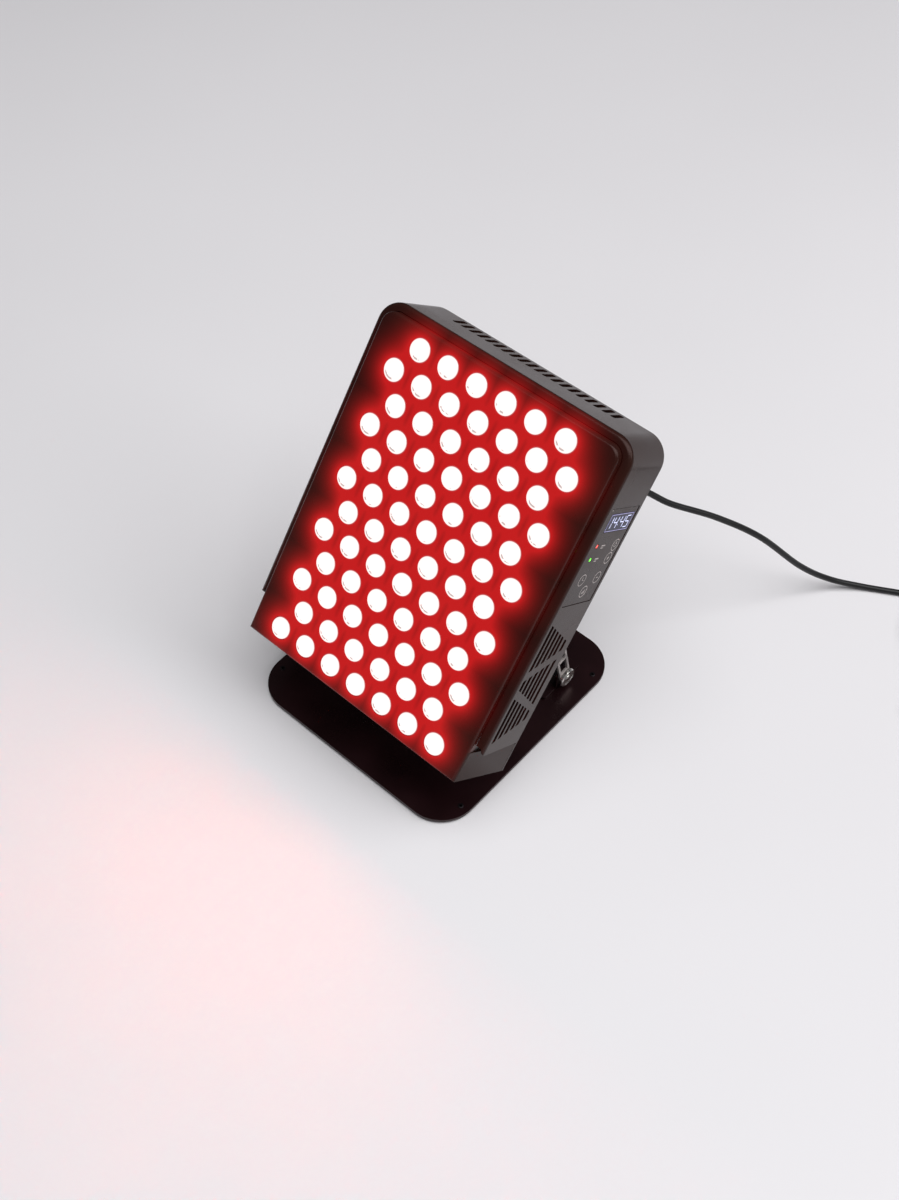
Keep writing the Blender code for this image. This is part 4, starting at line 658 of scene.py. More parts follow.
def slice_at(shape, point, looks, clear=False):
    """Cuts new edges where a plane meets the shape, and can clear away what lies behind it."""
    bmesh.ops.bisect_plane(shape, geom=shape.verts[:] + shape.edges[:] + shape.faces[:],
                           dist=tiny, plane_co=point, plane_no=looks, clear_inner=clear)


def folded_block(half, y, z, top_radius, front_edge, steps=10):
    """A block across the panel with round upper corners, and a soft edge round its front."""
    shape = bmesh.new()
    size = Matrix.Diagonal((2 * half, y[1] - y[0], z[1] - z[0], 1.0))
    middle = Matrix.Translation((0.0, sum(y) / 2, sum(z) / 2))
    bmesh.ops.create_cube(shape, size=1.0, matrix=middle @ size)
    upper = [e for e in shape.edges if all(v.co.z > z[1] - tiny for v in e.verts)
             and abs(e.verts[0].co.x - e.verts[1].co.x) < tiny]
    round_edges(shape, upper, top_radius, steps)
    front = [e for e in shape.edges if all(v.co.y < y[0] + tiny for v in e.verts)]
    round_edges(shape, front, front_edge, 4)
    return shape


def give_wall(piece, thickness):
    """Thickens a folded skin inwards to its sheet's thickness."""
    step = piece.modifiers.new("sheet_thickness", "SOLIDIFY")
    step.thickness = thickness
    step.offset = -1.0
    step.use_even_offset = True


light_pitch, row_pitch, row_count = 0.025, 0.02113, 12
light_places = []
for row in range(row_count):
    count = 6 + row % 2
    for column in range(count):
        light_places.append(((column - (count - 1) / 2) * light_pitch, -row * row_pitch))
case_half, case_top, case_bottom, case_back = 0.1005, 0.014, -0.24773, 0.0577
hood_half, hood_top, hood_bottom, hood_front = 0.108, 0.0205, -0.22203, 0.0065
body_depth = 0.058

slot_depths = [share * body_depth for share in (0.253, 0.367, 0.484, 0.603, 0.709, 0.843)]
slot_fields = ((0.439, 0.372, 0.289, 0.333), (0.258, 0.302, 0.221, 0.149),
               (0.192, 0.126, 0.042, 0.089))


def field_height(shares, depth):
    """The height of a slot field's slanting edge at a depth, from its shares at both ends."""
    along = (depth - slot_depths[0]) / (slot_depths[-1] - slot_depths[0])
    return hood_bottom + (hood_top - hood_bottom) * (shares[0] + (shares[1] - shares[0]) * along)


def distance_to_lights(tree):
    """For the rows of six and for the rows of seven: the distance to the nearest light's middle,
    and the way there. The third value is the point measured from the top row's middle."""
    where = add_node(tree, "TexCoord").outputs["Object"]
    on_face = add_node(tree, "Mapping", {"Vector": where, "Location": top_row_middle,
                                         "Rotation": (-panel_lean, 0.0, 0.0)},
                       vector_type="TEXTURE").outputs[0]
    step = Vector((light_pitch, 1.0, 2 * row_pitch))
    found = []
    for columns, last_row in ((6, 10), (7, 11)):
        corner = Vector((-(columns - 1) / 2 * light_pitch, 0.0, -last_row * row_pitch))
        offset = add_node(tree, "VectorMath", {0: on_face, 1: corner}, operation="SUBTRACT")
        moved = add_node(tree, "VectorMath", {0: offset.outputs[0], 1: step / 2}, operation="ADD")
        cell = add_node(tree, "VectorMath", {0: moved.outputs[0], 1: step}, operation="SNAP")
        last = ((columns - 1) * light_pitch, 0.0, 10 * row_pitch)
        cell = add_node(tree, "VectorMath", {0: cell.outputs[0], 1: last}, operation="MINIMUM")
        cell = add_node(tree, "VectorMath", {0: cell.outputs[0], 1: (0.0, 0.0, 0.0)},
                        operation="MAXIMUM")
        away = add_node(tree, "VectorMath", {0: offset.outputs[0], 1: cell.outputs[0]},
                        operation="SUBTRACT")
        away = add_node(tree, "VectorMath", {0: away.outputs[0], 1: (1.0, 0.0, 1.0)},
                        operation="MULTIPLY")
        length = add_node(tree, "VectorMath", {0: away.outputs[0]}, operation="LENGTH")
        found.append((length.outputs["Value"], away.outputs[0]))
    return found[0], found[1], on_face


# Black powder coat: nearly black and satin, with the coating's fine orange peel, about 0.7 mm
# across and drawn at 1.2 mm. Its red cast and the red tint of its reflections are painted red
# light of the lights. A red glow round each light is painted in its emission, which halves
# every 4 mm and reaches over the front edges to the hood's rim.
powder_coat = new_finish("black_powder_coated_steel", "#23110e", 0.26, grain=(0.0012, 0.10),
                         shades=("#20110e", "#271611", 0.05, (0.22, 0.29)),
                         sockets={"IOR": 1.3, "Specular Tint": (0.95, 0.72, 0.69, 1.0)})
tree, shader = inside(powder_coat)
(six, _), (seven, _), on_face = distance_to_lights(tree)
# Painted red glow round the lights, kept to the face, its front edges and the hood's rim.
painted_red_glows = []
for distance in (six, seven):
    fall = add_node(tree, "Math", {0: distance, 1: -1 / 0.0058, 2: 1.6}, operation="MULTIPLY_ADD")
    painted_red_glows.append(add_node(tree, "Math", {0: fall.outputs[0]}, operation="EXPONENT").outputs[0])
painted_red_glow = add_node(tree, "Math", {0: painted_red_glows[0], 1: painted_red_glows[1]}, operation="ADD", use_clamp=True)
parts = add_node(tree, "SeparateXYZ", {0: on_face})
edge = add_node(tree, "MapRange", {"Value": parts.outputs[2], "From Min": -0.2225,
                                   "From Max": -0.2218, "To Min": 0.0014, "To Max": 0.0086})
depth = add_node(tree, "Math", {0: parts.outputs[1], 1: edge.outputs[0]}, operation="SUBTRACT")
lit = add_node(tree, "MapRange", {"Value": depth.outputs[0], "From Min": -0.0012,
                                  "From Max": 0.0004, "To Min": 1.0, "To Max": 0.0})
painted_red_glow = add_node(tree, "Math", {0: painted_red_glow.outputs[0], 1: lit.outputs[0]}, operation="MULTIPLY")
red = add_node(tree, "Mix", {0: painted_red_glow.outputs[0], 6: (0.0, 0.0, 0.0, 1.0),
                             7: (0.54, 0.007, 0.009, 1.0)}, data_type="RGBA")
feed(shader, {"Emission Color": red.outputs[2], "Emission Strength": 1.0})

shape = folded_block(case_half, (0.0, case_back), (case_bottom, case_top), 0.010, 0.0022)
pierce(shape, (0, -1, 0), [(round_ring(place, 0.0089, 28), 0.0) for place in light_places],
       plane_across(1, 0.0))
slot_low = min(field_height(field[2:], depth) for field in slot_fields for depth in slot_depths)
slot_high = max(field_height(field[:2], depth) for field in slot_fields for depth in slot_depths)
window_margin = 0.003
window = (box_ring((slot_depths[0] - window_margin, slot_depths[-1] + window_margin),
                   (slot_low - window_margin, slot_high + window_margin)), 0.002, 3)
for side in (-1, 1):
    pierce(shape, (side, 0, 0), [window], plane_across(0, side * case_half))
top_slot_reach, case_lip = (0.0375, 0.0545), 0.0065
pierce(shape, (0, 0, 1), [(box_ring((-0.0724, 0.0724), top_slot_reach), 0.001, 3)],
       plane_across(2, case_top))
mouth = box_ring((case_lip - case_half, case_half - case_lip),
                 (case_bottom + case_lip, case_top - case_lip))
pierce(shape, (0, 1, 0), [(mouth, 0.003, 4)], plane_across(1, case_back))

# Below the hood the case's sides flare out from their front edge, to end flush with the hood.
cheek_top, cheek_ledge, cheek_flare = hood_bottom - 0.0004, 0.0005, 0.0072
for height in (cheek_top, cheek_top - cheek_ledge):
    slice_at(shape, (0.0, 0.0, height), (0, 0, 1))
for vert in shape.verts:
    if vert.co.z < cheek_top - cheek_ledge / 2 and abs(vert.co.x) > case_half - 1e-5:
        vert.co.x += math.copysign(cheek_flare * vert.co.y / case_back, vert.co.x)
bmesh.ops.recalc_face_normals(shape, faces=shape.faces)
case = finish_piece(shape, "punched_front_case", powder_coat, "panel", panel_place)
give_wall(case, 0.0015)
break_edges(case, 0.0002, 2, 50)
stand_for("front_case")

# Lenses: 78 clear polycarbonate domes moulded on one sheet, each over its red and infrared
# chips. Lit, they burn out to white in the middle and turn red towards their rims.
lens_radius, lens_back, lens_sheet = 0.0086, 0.0071, 0.0012

# Moulded polycarbonate, lit: the disc's edge lies at 8 mm, and the chips' glare fills its middle.
lens_finish = new_finish("lit_polycarbonate_lens", "#4a3a39", 0.12)
tree, shader = inside(lens_finish)
(six, six_away), (seven, seven_away), on_face = distance_to_lights(tree)
nearest = add_node(tree, "Math", {0: six, 1: seven}, operation="MINIMUM")
disc = add_node(tree, "MapRange", {"Value": nearest.outputs[0], "From Min": 0.0084,
                                   "From Max": 0.0077, "To Min": 0.0, "To Max": 1.0},
                interpolation_type="SMOOTHSTEP")
glow = add_node(tree, "Mix", {0: disc.outputs[0], 6: (0.42, 0.04, 0.045, 1.0),
                              7: (1.15, 0.99, 0.96, 1.0)}, data_type="RGBA")
core = add_node(tree, "MapRange", {"Value": nearest.outputs[0], "From Min": 0.0046,
                                   "From Max": 0.0036, "To Min": 0.0, "To Max": 1.0})
glow = add_node(tree, "Mix", {0: core.outputs[0], 6: glow.outputs[2],
                              7: (75.0, 8.0, 7.5, 1.0)}, data_type="RGBA")
# The dome's inner facets show as a few grey dashes near its lower rim.
is_six = add_node(tree, "Math", {0: six, 1: seven}, operation="LESS_THAN")
away = add_node(tree, "Mix", {0: is_six.outputs[0], 4: seven_away, 5: six_away},
                data_type="VECTOR")
slant = add_node(tree, "VectorMath", {0: away.outputs[1], 1: (0.34, 0.0, 0.94)},
                 operation="DOT_PRODUCT")
low_side = add_node(tree, "MapRange", {"Value": slant.outputs["Value"], "From Min": -0.0042,
                                       "From Max": -0.0050, "To Min": 0.0, "To Max": 0.8})
dashes = add_node(tree, "TexVoronoi", {"Vector": on_face, "Scale": 260.0})
dash = add_node(tree, "Math", {0: dashes.outputs["Distance"], 1: 0.52}, operation="LESS_THAN")
ring_in = add_node(tree, "Math", {0: nearest.outputs[0], 1: 0.0061, 2: 0.0007},
                   operation="COMPARE")
facet = add_node(tree, "Math", {0: low_side.outputs[0], 1: dash.outputs[0]}, operation="MULTIPLY")
facet = add_node(tree, "Math", {0: facet.outputs[0], 1: ring_in.outputs[0]}, operation="MULTIPLY")
glow = add_node(tree, "Mix", {0: facet.outputs[0], 6: glow.outputs[2],
                              7: (0.36, 0.32, 0.30, 1.0)}, data_type="RGBA")
feed(shader, {"Emission Color": glow.outputs[2], "Emission Strength": 1.0})

lens_rows = bmesh.new()
for x, z in light_places:
    profile = [(0.0, 0.0013), (0.0022, 0.00122), (0.0043, 0.00098), (0.0062, 0.0006)]
    profile += [(0.0076, 0.0001), (0.0083, -0.0003), (lens_radius, -0.0008)]
    profile += [(lens_radius, -lens_back), (0.0, -lens_back)]
    add_part(lens_rows, turned(profile, 24), facing((x, 0.0, z), (0, -1, 0)))
sheet = box_ring((-0.084, 0.084), (-11 * row_pitch - 0.009, 0.009))
add_part(lens_rows, cut_sheet((sheet, 0.002, 4), [], lens_sheet),
         facing((0.0, lens_back, 0.0), (0, -1, 0)))
lenses = finish_piece(lens_rows, "domed_lenses", lens_finish, "panel", panel_place)
stand_for("lens_array")

# Outer hood: a U-shaped cover of 2 mm steel over the case's sides and top, open below, with a
# soft front rim. Its sides are cut with three slanting fields of vent slots.
# It is made too long, and cut to length once its openings are in.
hood_corner = 0.018
shape = folded_block(hood_half, (hood_front, case_back), (hood_bottom - 0.03, hood_top),
                     hood_corner, 0.0031, 14)
rim = (box_ring((-0.101, 0.101), (hood_bottom - 0.02, 0.0145)), 0.0105, 8)
pierce(shape, (0, -1, 0), [rim], plane_across(1, hood_front))
pierce(shape, (0, 1, 0), [rim], plane_across(1, case_back))
slots, slot_half = [], 0.002
for field in slot_fields:
    for middle in slot_depths:
        near, far = middle - slot_half, middle + slot_half
        corners = [(depth, field_height(field[2:], depth)) for depth in (near, far)]
        corners += [(depth, field_height(field[:2], depth)) for depth in (far, near)]
        slots.append((corners, 0.0007, 3))
label_y, label_z = (0.0125, 0.056), (-0.1005, -0.025)
recess = (box_ring(label_y, label_z), 0.0012, 4)
for side in (-1, 1):
    pierce(shape, (side, 0, 0), slots + ([recess] if side > 0 else []),
           plane_across(0, side * hood_half))
top_slots, top_slot_count, top_slot_pitch = [], 20, 0.0072
for slot in range(top_slot_count):
    middle = (slot - (top_slot_count - 1) / 2) * top_slot_pitch
    top_slots.append((box_ring((middle - slot_half, middle + slot_half), top_slot_reach),
                      0.0018, 5))
pierce(shape, (0, 0, 1), top_slots, plane_across(2, hood_top))
slice_at(shape, (0.0, 0.0, hood_bottom), (0, 0, 1), clear=True)

# The hood's lower front corners are rounded off.
end_radius = 0.005
for share in (0.75, 1.0):
    slice_at(shape, (0.0, hood_front + end_radius * share, 0.0), (0, 1, 0))
for vert in shape.verts:
    inset = hood_front + end_radius - vert.co.y
    if inset > 0.0 and vert.co.z < hood_bottom + tiny:
        vert.co.z += end_radius - math.sqrt(max(0.0, end_radius**2 - inset**2))

# The control film lies in a recess, with a window behind the display.
recess_depth = 0.001
display_y, display_z = (0.0175, 0.0525), (-0.043, -0.0295)
indicator_y, indicator_heights, indicator_hole = 0.019, (-0.0538, -0.064), 0.0018
wall = [e for e in shape.edges if e.is_boundary and all(abs(v.co.x - hood_half) < tiny
        and label_y[0] - tiny < v.co.y < label_y[1] + tiny
        and label_z[0] - tiny < v.co.z < label_z[1] + tiny for v in e.verts)]
deeper = bmesh.ops.extrude_edge_only(shape, edges=wall)["geom"]
moved = [item for item in deeper if isinstance(item, bmesh.types.BMVert)]
bmesh.ops.translate(shape, verts=moved, vec=(-recess_depth, 0.0, 0.0))
floor_rim = [item for item in deeper if isinstance(item, bmesh.types.BMEdge) and item.is_boundary]
openings = [(box_ring((display_y[0] + 0.0015, display_y[1] - 0.0015),
                      (display_z[0] + 0.0015, display_z[1] - 0.0015)), 0.0)]
openings += [(round_ring((indicator_y, height), indicator_hole, 16), 0.0)
             for height in indicator_heights]
fill_round(shape, floor_rim, openings, plane_across(0, hood_half - recess_depth),
           Vector((1.0, 0.0, 0.0)))
bmesh.ops.recalc_face_normals(shape, faces=shape.faces)
hood = finish_piece(shape, "slotted_outer_hood", powder_coat, "panel", panel_place)
give_wall(hood, 0.002)
break_edges(hood, 0.0002, 2, 50)
stand_for("outer_hood")

# Control film: matt black polyester, printed in pale grey with five touch rings and plain
# strokes beside the indicators. It is glued in the hood's recess.
side_place = panel_place @ facing((0.0, 0.0, 0.0), (1, 0, 0))
film_in, film_out, film_gap = 0.1073, 0.1079, 0.0003
# The film's red cast and the red tint of its reflections are painted red light of the lights.
film = new_finish("matt_polyester_film", "#211210", 0.28, grain=(0.0007, 0.08),
                  shades=("#1d110f", "#251713", 0.02, (0.25, 0.32)),
                  sockets={"IOR": 1.3, "Specular Tint": (0.95, 0.72, 0.69, 1.0)})
openings = [(box_ring((display_y[0] - film_gap, display_y[1] + film_gap),
                      (display_z[0] - film_gap, display_z[1] + film_gap)), 0.0)]
openings += [(round_ring((indicator_y, height), indicator_hole, 20), 0.0)
             for height in indicator_heights]
outline = (box_ring((label_y[0] + film_gap, label_y[1] - 0.0013),
                    (label_z[0] + 0.0006, label_z[1] - film_gap)), 0.001, 4)
label = finish_piece(cut_sheet(outline, openings, film_out - film_in), "control_film", film,
                     "panel", side_place @ Matrix.Translation((0.0, 0.0, film_in)))
break_edges(label, 0.0001, 1)
stand_for("control_label")

# Screen-printed ink: a pale warm grey that lies a hair above the film.
print_ink = new_finish("pale_grey_printing_ink", "#c2b8b5", 0.5, grain=(0.0005, 0.15),
                       shades=("#ada4a1", "#d0c7c4", 0.003))
prints = bmesh.new()
print_height = 0.00005


def print_ring(centre, radius, line):
    """A printed ring on the film, about a (depth, height) centre."""
    ring = cut_sheet((round_ring(centre, radius, 40), 0.0),
                     [(round_ring(centre, radius - line, 40), 0.0)], print_height)
    add_part(prints, ring, Matrix.Translation((0.0, 0.0, film_out)))


def print_bar(centre, size):
    """A printed stroke on the film, as (depth, height) centre and size."""
    bar = cut_sheet((box_ring((-size[0] / 2, size[0] / 2), (-size[1] / 2, size[1] / 2)), 0.0), [],
                    print_height)
    add_part(prints, bar, Matrix.Translation((*centre, film_out)))


touch_places = [Vector(place) for place in ((0.0483, -0.055), (0.0475, -0.0653),
                (0.046, -0.0805), (0.023, -0.0803), (0.0348, -0.0905))]
for place in touch_places:
    print_ring(place, 0.0046, 0.00045)
power, plus, minus, clock, levels = touch_places
print_ring(power, 0.0018, 0.0004)
print_bar(power + Vector((0.0, 0.0021)), (0.0004, 0.0018))
print_bar(plus, (0.0034, 0.0004))
print_bar(plus, (0.0004, 0.0034))
print_bar(minus, (0.0034, 0.0004))
print_bar(clock + Vector((0.0, 0.0011)), (0.0004, 0.0024))
print_bar(clock + Vector((0.0009, 0.0)), (0.0020, 0.0004))
for bar in range(3):
    tall = 0.0014 + 0.0011 * bar
    print_bar(levels + Vector(((bar - 1) * 0.0015, (tall - 0.0036) / 2)), (0.0007, tall))
for height in indicator_heights:
    print_bar(Vector((0.0285, height)), (0.0056, 0.0009))
    print_bar(Vector((0.0275, height - 0.0017)), (0.0036, 0.0006))
print_bar(Vector((0.0145, -0.0262)), (0.0009, 0.0009))
printed_marks = finish_piece(prints, "printed_touch_marks", print_ink, "panel", side_place)

# Display: a smoked acrylic window, coated against glare, over a four-digit module lit pale blue,
# with a seam of stray light round its edge.
# The window's emission is the module's pale blue light, painted on the glass.
module_glow = (0.007, 0.006, 0.026, 1.0)
smoked_acrylic = new_finish("smoked_acrylic", "#0c0f1e", 0.12, grain=(0.004, 0.03),
                            shades=("#0a0c18", "#101427", 0.01),
                            sockets={"IOR": 1.25, "Emission Color": module_glow,
                                     "Emission Strength": 1.0})
size = (display_y[1] - display_y[0], display_z[1] - display_z[0], film_out - film_in)
middle = (sum(display_y) / 2, sum(display_z) / 2, (film_in + film_out) / 2)
window = finish_piece(rounded_box(size, 0.0004, 0.0001, 3, 1), "display_glass", smoked_acrylic,
                      "panel", side_place @ Matrix.Translation(middle))
stand_for("display_window")


def uneven_light(name, colour, scale, dim, bright, strength):
    """A finish that gives off light, which wanders between two colours."""
    finish = new_finish(name, colour, 0.4)
    tree, shader = inside(finish)
    where = add_node(tree, "TexCoord").outputs["Object"]
    noise = add_node(tree, "TexNoise", {"Vector": where, "Scale": scale})
    tint = add_node(tree, "Mix", {0: noise.outputs[0], 6: paint(dim), 7: paint(bright)},
                    data_type="RGBA")
    feed(shader, {"Emission Color": tint.outputs[2], "Emission Strength": strength})
    return finish


# Lit segments: cool white light with a blue cast, a little uneven along each bar.
segment_light = uneven_light("lit_display_segments", "#cfd6ff", 900.0, "#9aa6f0", "#ffffff", 0.8)
digits = bmesh.new()
digit_half, digit_width, stroke, slope = 0.0043, 0.0052, 0.0006, 0.04
segments = {"a": (0.0, 1.0, True), "g": (0.0, 0.0, True), "d": (0.0, -1.0, True),
            "f": (-0.5, 0.5, False), "b": (0.5, 0.5, False), "e": (-0.5, -0.5, False),
            "c": (0.5, -0.5, False)}
display_middle = Vector((sum(display_y) / 2, sum(display_z) / 2))


def segment_bar(centre, length, upright):
    """One lit bar with pointed ends, leaning with the digits."""
    half, tip = length / 2 - 0.00008, stroke / 2
    bar = [(-half, 0.0), (-half + tip, -tip), (half - tip, -tip), (half, 0.0),
           (half - tip, tip), (-half + tip, tip)]
    if upright:
        bar = [(-up, along) for along, up in bar]
    placed = [(centre[0] + x + (centre[1] + z) * slope, centre[1] + z) for x, z in bar]
    placed = [(display_middle.x + x, display_middle.y + z) for x, z in placed]
    part = cut_sheet((placed, 0.0), [], print_height)
    add_part(digits, part, Matrix.Translation((0.0, 0.0, film_out)))


for middle, lit_bars in ((-0.0146, "bc"), (-0.0062, "fgbc"), (0.0038, "fgbc"), (0.0118, "afgcd")):
    for letter in lit_bars:
        across, up, flat = segments[letter]
        centre = (middle + across * digit_width, up * digit_half)
        segment_bar(centre, digit_width if flat else digit_half, not flat)
for up in (-0.45, 0.45):
    segment_bar((-0.0012, up * digit_half), 0.0010, False)
digits_lit = finish_piece(digits, "display_digits", segment_light, "panel", side_place)

# Stray light of the module that escapes round the window: dim and patchy, with a violet cast.
seam_light = uneven_light("stray_light_round_the_display", "#8f8ab8", 160.0, "#4c486c",
                          "#c9c4ee", 0.42)
outer, inner = [(box_ring((display_y[0] + inset, display_y[1] - inset),
                          (display_z[0] + inset, display_z[1] - inset)), 0.0)
                for inset in (0.0002, 0.0007)]
seam = finish_piece(cut_sheet(outer, [inner], print_height), "display_seam", seam_light,
                    "panel", side_place @ Matrix.Translation((0.0, 0.0, film_out)))

# Indicators: two 3 mm LEDs moulded in tinted, diffusing epoxy, red over green. They stand in
# holes of the hood's recess, and their domes end flush with the film.
lamp_colours = (("red", "#8a1010", "#ff5a50"), ("green", "#1c7a10", "#7dff4a"))
for height, (hue, deep, bright) in zip(indicator_heights, lamp_colours):
    finish = new_finish(f"diffused_{hue}_light", deep, 0.3)
    tree, shader = inside(finish)
    where = add_node(tree, "TexCoord").outputs["Object"]
    spot = side_place @ Vector((indicator_y, height, film_out))
    from_spot = add_node(tree, "VectorMath", {0: where, 1: spot}, operation="DISTANCE")
    fall = add_node(tree, "MapRange", {"Value": from_spot.outputs["Value"], "From Min": 0.0010,
                                       "From Max": 0.0021, "To Min": 1.0, "To Max": 0.0})
    tint = add_node(tree, "Mix", {0: fall.outputs[0], 6: paint(deep), 7: paint(bright)},
                    data_type="RGBA")
    feed(shader, {"Emission Color": tint.outputs[2], "Emission Strength": 1.6})
    profile = [(0.0, 0.1023), (0.0015, 0.1023), (0.0015, 0.1074), (0.0013, 0.1077)]
    profile += [(0.0008, 0.1079), (0.0, 0.1079)]
    lamp = finish_piece(turned(profile, 24), f"indicator_lamp_{hue}", finish, "panel",
                        side_place @ Matrix.Translation((indicator_y, height, 0.0)))
    stand_for(f"{hue}_indicator")

# Back cover: a flat plate of 2 mm steel, powder coated, with a grille of upright slots behind
# each fan, the inlet's opening, and screws into the hood, the case and the fans.
cover_half, cover_top, cover_back, cover_thickness = 0.1077, 0.0202, 0.060, 0.002
fan_half_spacing, fan_z, fan_bore = 0.0435, -0.19623, 0.037
grille_count = 8
grille_pitch = 2 * fan_bore / grille_count
openings = []
for side in (-1, 1):
    for slot in range(grille_count):
        offset = (slot - (grille_count - 1) / 2) * grille_pitch
        reach = math.sqrt(fan_bore**2 - offset**2) * 0.96
        middle, half = side * fan_half_spacing + offset, grille_pitch * 0.21
        openings.append((box_ring((middle - half, middle + half), (fan_z - reach, fan_z + reach)),
                         half * 0.96, 6))
# Seen from behind, the inlet lies on the left.
inlet_half_width, inlet_half_height = 0.0118, 0.0068
openings.append((box_ring((-inlet_x - inlet_half_width, -inlet_x + inlet_half_width),
                          (inlet_z - inlet_half_height, inlet_z + inlet_half_height)), 0.0))
outline = [(-cover_half, case_bottom), (cover_half, case_bottom)]
for side, start in ((1, 0.0), (-1, math.pi / 2)):
    corner = (side * (cover_half - hood_corner), cover_top - hood_corner)
    outline += arc(corner, hood_corner, start, math.pi / 2, 14)
cover = finish_piece(cut_sheet((outline, 0.0), openings, cover_thickness), "slotted_back_cover",
                     powder_coat, "panel", panel_place @ facing((0, body_depth, 0), (0, 1, 0)))
break_edges(cover, 0.0003)
stand_for("back_cover")

# Zinc plating over steel: cool light grey, faintly mottled by the bath.
zinc_steel = new_finish("zinc_plated_steel", "#b4b6ba", 0.34, 1.0, grain=(0.0008, 0.07),
                        shades=("#a3a6ab", "#c4c6ca", 0.006, (0.26, 0.42)))

# Screws along the hood's sides, in the case's lips, and in each fan's four corners.
straight, fan_hole, lip_middle = hood_top - hood_corner - hood_bottom, 0.03575, 0.004
screw_places = [(side * 0.1035, hood_bottom + straight * share)
                for side in (-1, 1) for share in (0.06, 0.5, 0.97)]
screw_places += [(side * 0.0588, height) for side in (-1, 1)
                 for height in (case_bottom + lip_middle, case_top - lip_middle)]
screw_places += [(side * fan_half_spacing + across * fan_hole, fan_z + up * fan_hole)
                 for side in (-1, 1) for across in (-1, 1) for up in (-1, 1)]
out_of_back = panel_place.to_3x3() @ Vector((0.0, 1.0, 0.0))
for number, (x, z) in enumerate(screw_places, 1):
    pan_head_screw(f"cover_screw_{number}", panel_place @ Vector((x, cover_back, z)), out_of_back,
                   0.003, "panel", None, zinc_steel)

# Ears and tilt joint: angles screwed on the back cover, with a hex bolt and nut through each
# ear and strap, tight enough to hold the panel where it is set.
tilt_y, tilt_z = 0.070, -0.126
for side, hand in ((-1, "left"), (1, "right")):
    holes = [(-side * 0.0065, along) for along in (-0.014, 0.014)]
    shape = angle_bracket((0.013, 0.040), holes, side, 0.008, tilt_y - cover_back - fit_gap)
    ear_place = panel_place @ facing((side * lug_outer_x, cover_back + fit_gap, tilt_z),
                                     (0, 1, 0), (0, 0, -1))
    ear = finish_piece(shape, f"panel_angle_{hand}", zinc_steel, "panel", ear_place)
    break_edges(ear, 0.0003)
    stand_for(f"{hand}_back_ear")
    for along, level in ((-0.014, "lower"), (0.014, "upper")):
        seat = panel_place @ Vector((side * 0.0732, cover_back + bracket_sheet + 2 * fit_gap,
                                     tilt_z + along))
        pan_head_screw(f"angle_screw_{level}_{hand}", seat, out_of_back, 0.0045, "panel",
                       f"{hand}_{level}_ear_screw", zinc_steel)
    axis = panel_place @ Vector((0.0, tilt_y, tilt_z))
    start = axis + Vector((side * (lug_inner_x - fit_gap), 0.0, 0.0))
    hex_nut(f"tilt_hex_nut_{hand}", start, (-side, 0, 0), "panel", f"{hand}_tilt_nut",
            zinc_steel)
    shape = hex_block(0.005, 0.003, [], 2)
    shape.transform(Matrix.Translation((0.0, 0.0, knob_in)))
    profile = shaft + [(0.0046, knob_in), (0.0046, knob_in + 0.0001), (0.0, knob_in + 0.0001)]
    add_part(shape, turned(profile, 24))
    bolt = finish_piece(shape, f"tilt_hex_bolt_{hand}", zinc_steel, "panel",
                        facing(axis, (side, 0, 0)))
    stand_for(f"{hand}_tilt_bolt")


# Inside the case: the light board on its heatsink, the driver, two fans, the control board and
# the leads between them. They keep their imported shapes, each in its own finish.
def give_finish(names, finish):
    """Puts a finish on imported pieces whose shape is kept."""
    for name in names:
        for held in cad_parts[name].material_slots:
            held.material = finish


# Aluminium light board under white solder mask.
white_mask = new_finish("white_solder_mask", "#e4e3dc", 0.4, grain=(0.001, 0.06),
                        shades=("#dad9d1", "#ecebe6", 0.02))
give_finish(["led_board"], white_mask)

# Extruded aluminium: bare, with die lines that run along the fins, about 0.8 mm apart.
extrusion = new_finish("extruded_aluminium", "#b9babd", 0.36, 1.0,
                       grain=(0.0008, 0.12, (1.0, 0.05, 0.05)),
                       shades=("#adaeb1", "#c4c5c8", 0.02, (0.3, 0.44)))
give_finish(["heatsink"], extrusion)

# Brushed aluminium shell of the driver.
brushed = new_finish("brushed_aluminium", "#b0b1b4", 0.32, 1.0,
                     grain=(0.0006, 0.14, (0.04, 1.0, 1.0)),
                     shades=("#a5a6a9", "#bdbec1", 0.03, (0.26, 0.4)))
give_finish(["led_driver"], brushed)

# Glass-filled PBT of the fans and the inlet: matt black plastic.
fan_plastic = new_finish("glass_filled_pbt", "#1a1a1b", 0.55, grain=(0.001, 0.22),
                         shades=("#151516", "#222223", 0.015, (0.48, 0.62)))
give_finish(["left_fan_frame", "right_fan_frame", "left_fan_rotor", "right_fan_rotor",
             "power_inlet"], fan_plastic)

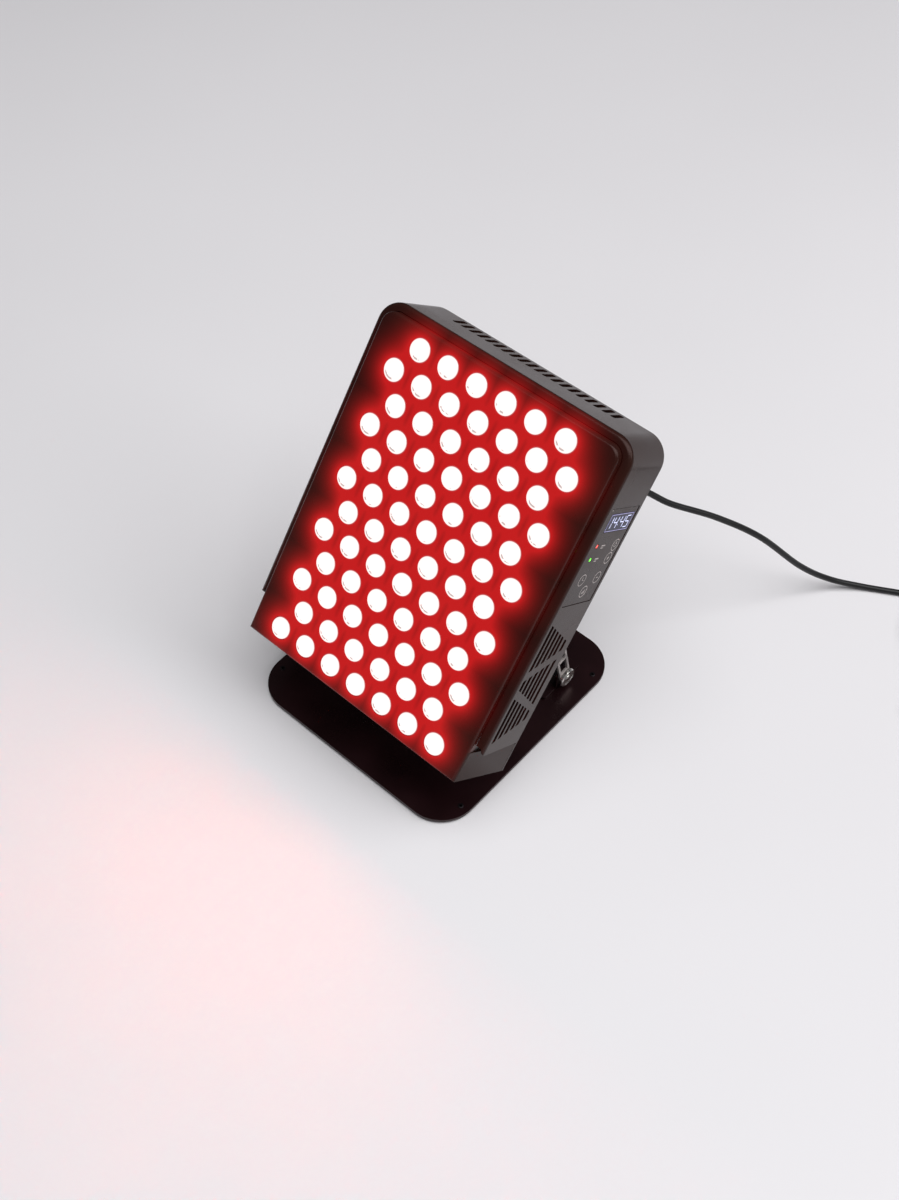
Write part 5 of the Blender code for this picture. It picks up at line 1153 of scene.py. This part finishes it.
# Green solder mask of the control board, and the milky face of the display module.
green_mask = new_finish("green_solder_mask", "#14502c", 0.35, grain=(0.001, 0.08),
                        shades=("#104524", "#1b6236", 0.006))
give_finish(["control_board"], green_mask)
milky = new_finish("milky_polycarbonate", "#c4c3d8", 0.4, grain=(0.001, 0.05),
                   shades=("#b8b7cc", "#d0cfe4", 0.01))
give_finish(["display_module"], milky)

# PVC leads, one colour each.
for node_name, name, dark, light in (
        ("mains_lead", "brown_pvc_lead", "#4a2412", "#5e3019"),
        ("light_lead", "red_pvc_lead", "#7c1414", "#951c1a"),
        ("fan_lead", "black_pvc_lead", "#141414", "#1f1f1f"),
        ("control_cable", "grey_pvc_cable", "#8b8b8d", "#a2a2a4")):
    lead = new_finish(name, dark, 0.45, grain=(0.0008, 0.1), shades=(dark, light, 0.01))
    give_finish([node_name], lead)


# Studio: a plain pale floor, an even pale surround and two large soft lamps. One stands high on
# the right and lights the control side, and the other hangs overhead.
def soft_lamp(name, place, aim, size, power):
    lamp = bpy.data.objects.new(name, bpy.data.lights.new(name, "AREA"))
    lamp.data.size = size
    lamp.data.energy = power
    lamp.location = place
    lamp.rotation_euler = (Vector(aim) - Vector(place)).to_track_quat("-Z", "Y").to_euler()
    bpy.context.scene.collection.objects.link(lamp)


soft_lamp("window_light", (1.9, 1.0, 2.4), (0.0, 0.0, 0.12), 2.4, 58.0)
soft_lamp("ceiling_light", (0.5, -0.6, 3.2), (0.0, 0.0, 0.0), 2.6, 76.0)

world = bpy.data.worlds.new("studio_surround")
bpy.context.scene.world = world
world.use_nodes = True
background = world.node_tree.nodes["Background"]
background.inputs["Color"].default_value = paint("#f0f1f4")
background.inputs["Strength"].default_value = 0.12

# Pale matt paint of the floor, with wide patches that hardly show.
floor_finish = new_finish("pale_matt_floor", "#e3e1e4", 0.9, shades=("#e1dfe2", "#e5e3e6", 0.8))
shape = bmesh.new()
bmesh.ops.create_grid(shape, x_segments=1, y_segments=1, size=12.0)
floor = finish_piece(shape, "floor", floor_finish, None, Matrix.Translation((0.0, 0.0, -0.0002)))
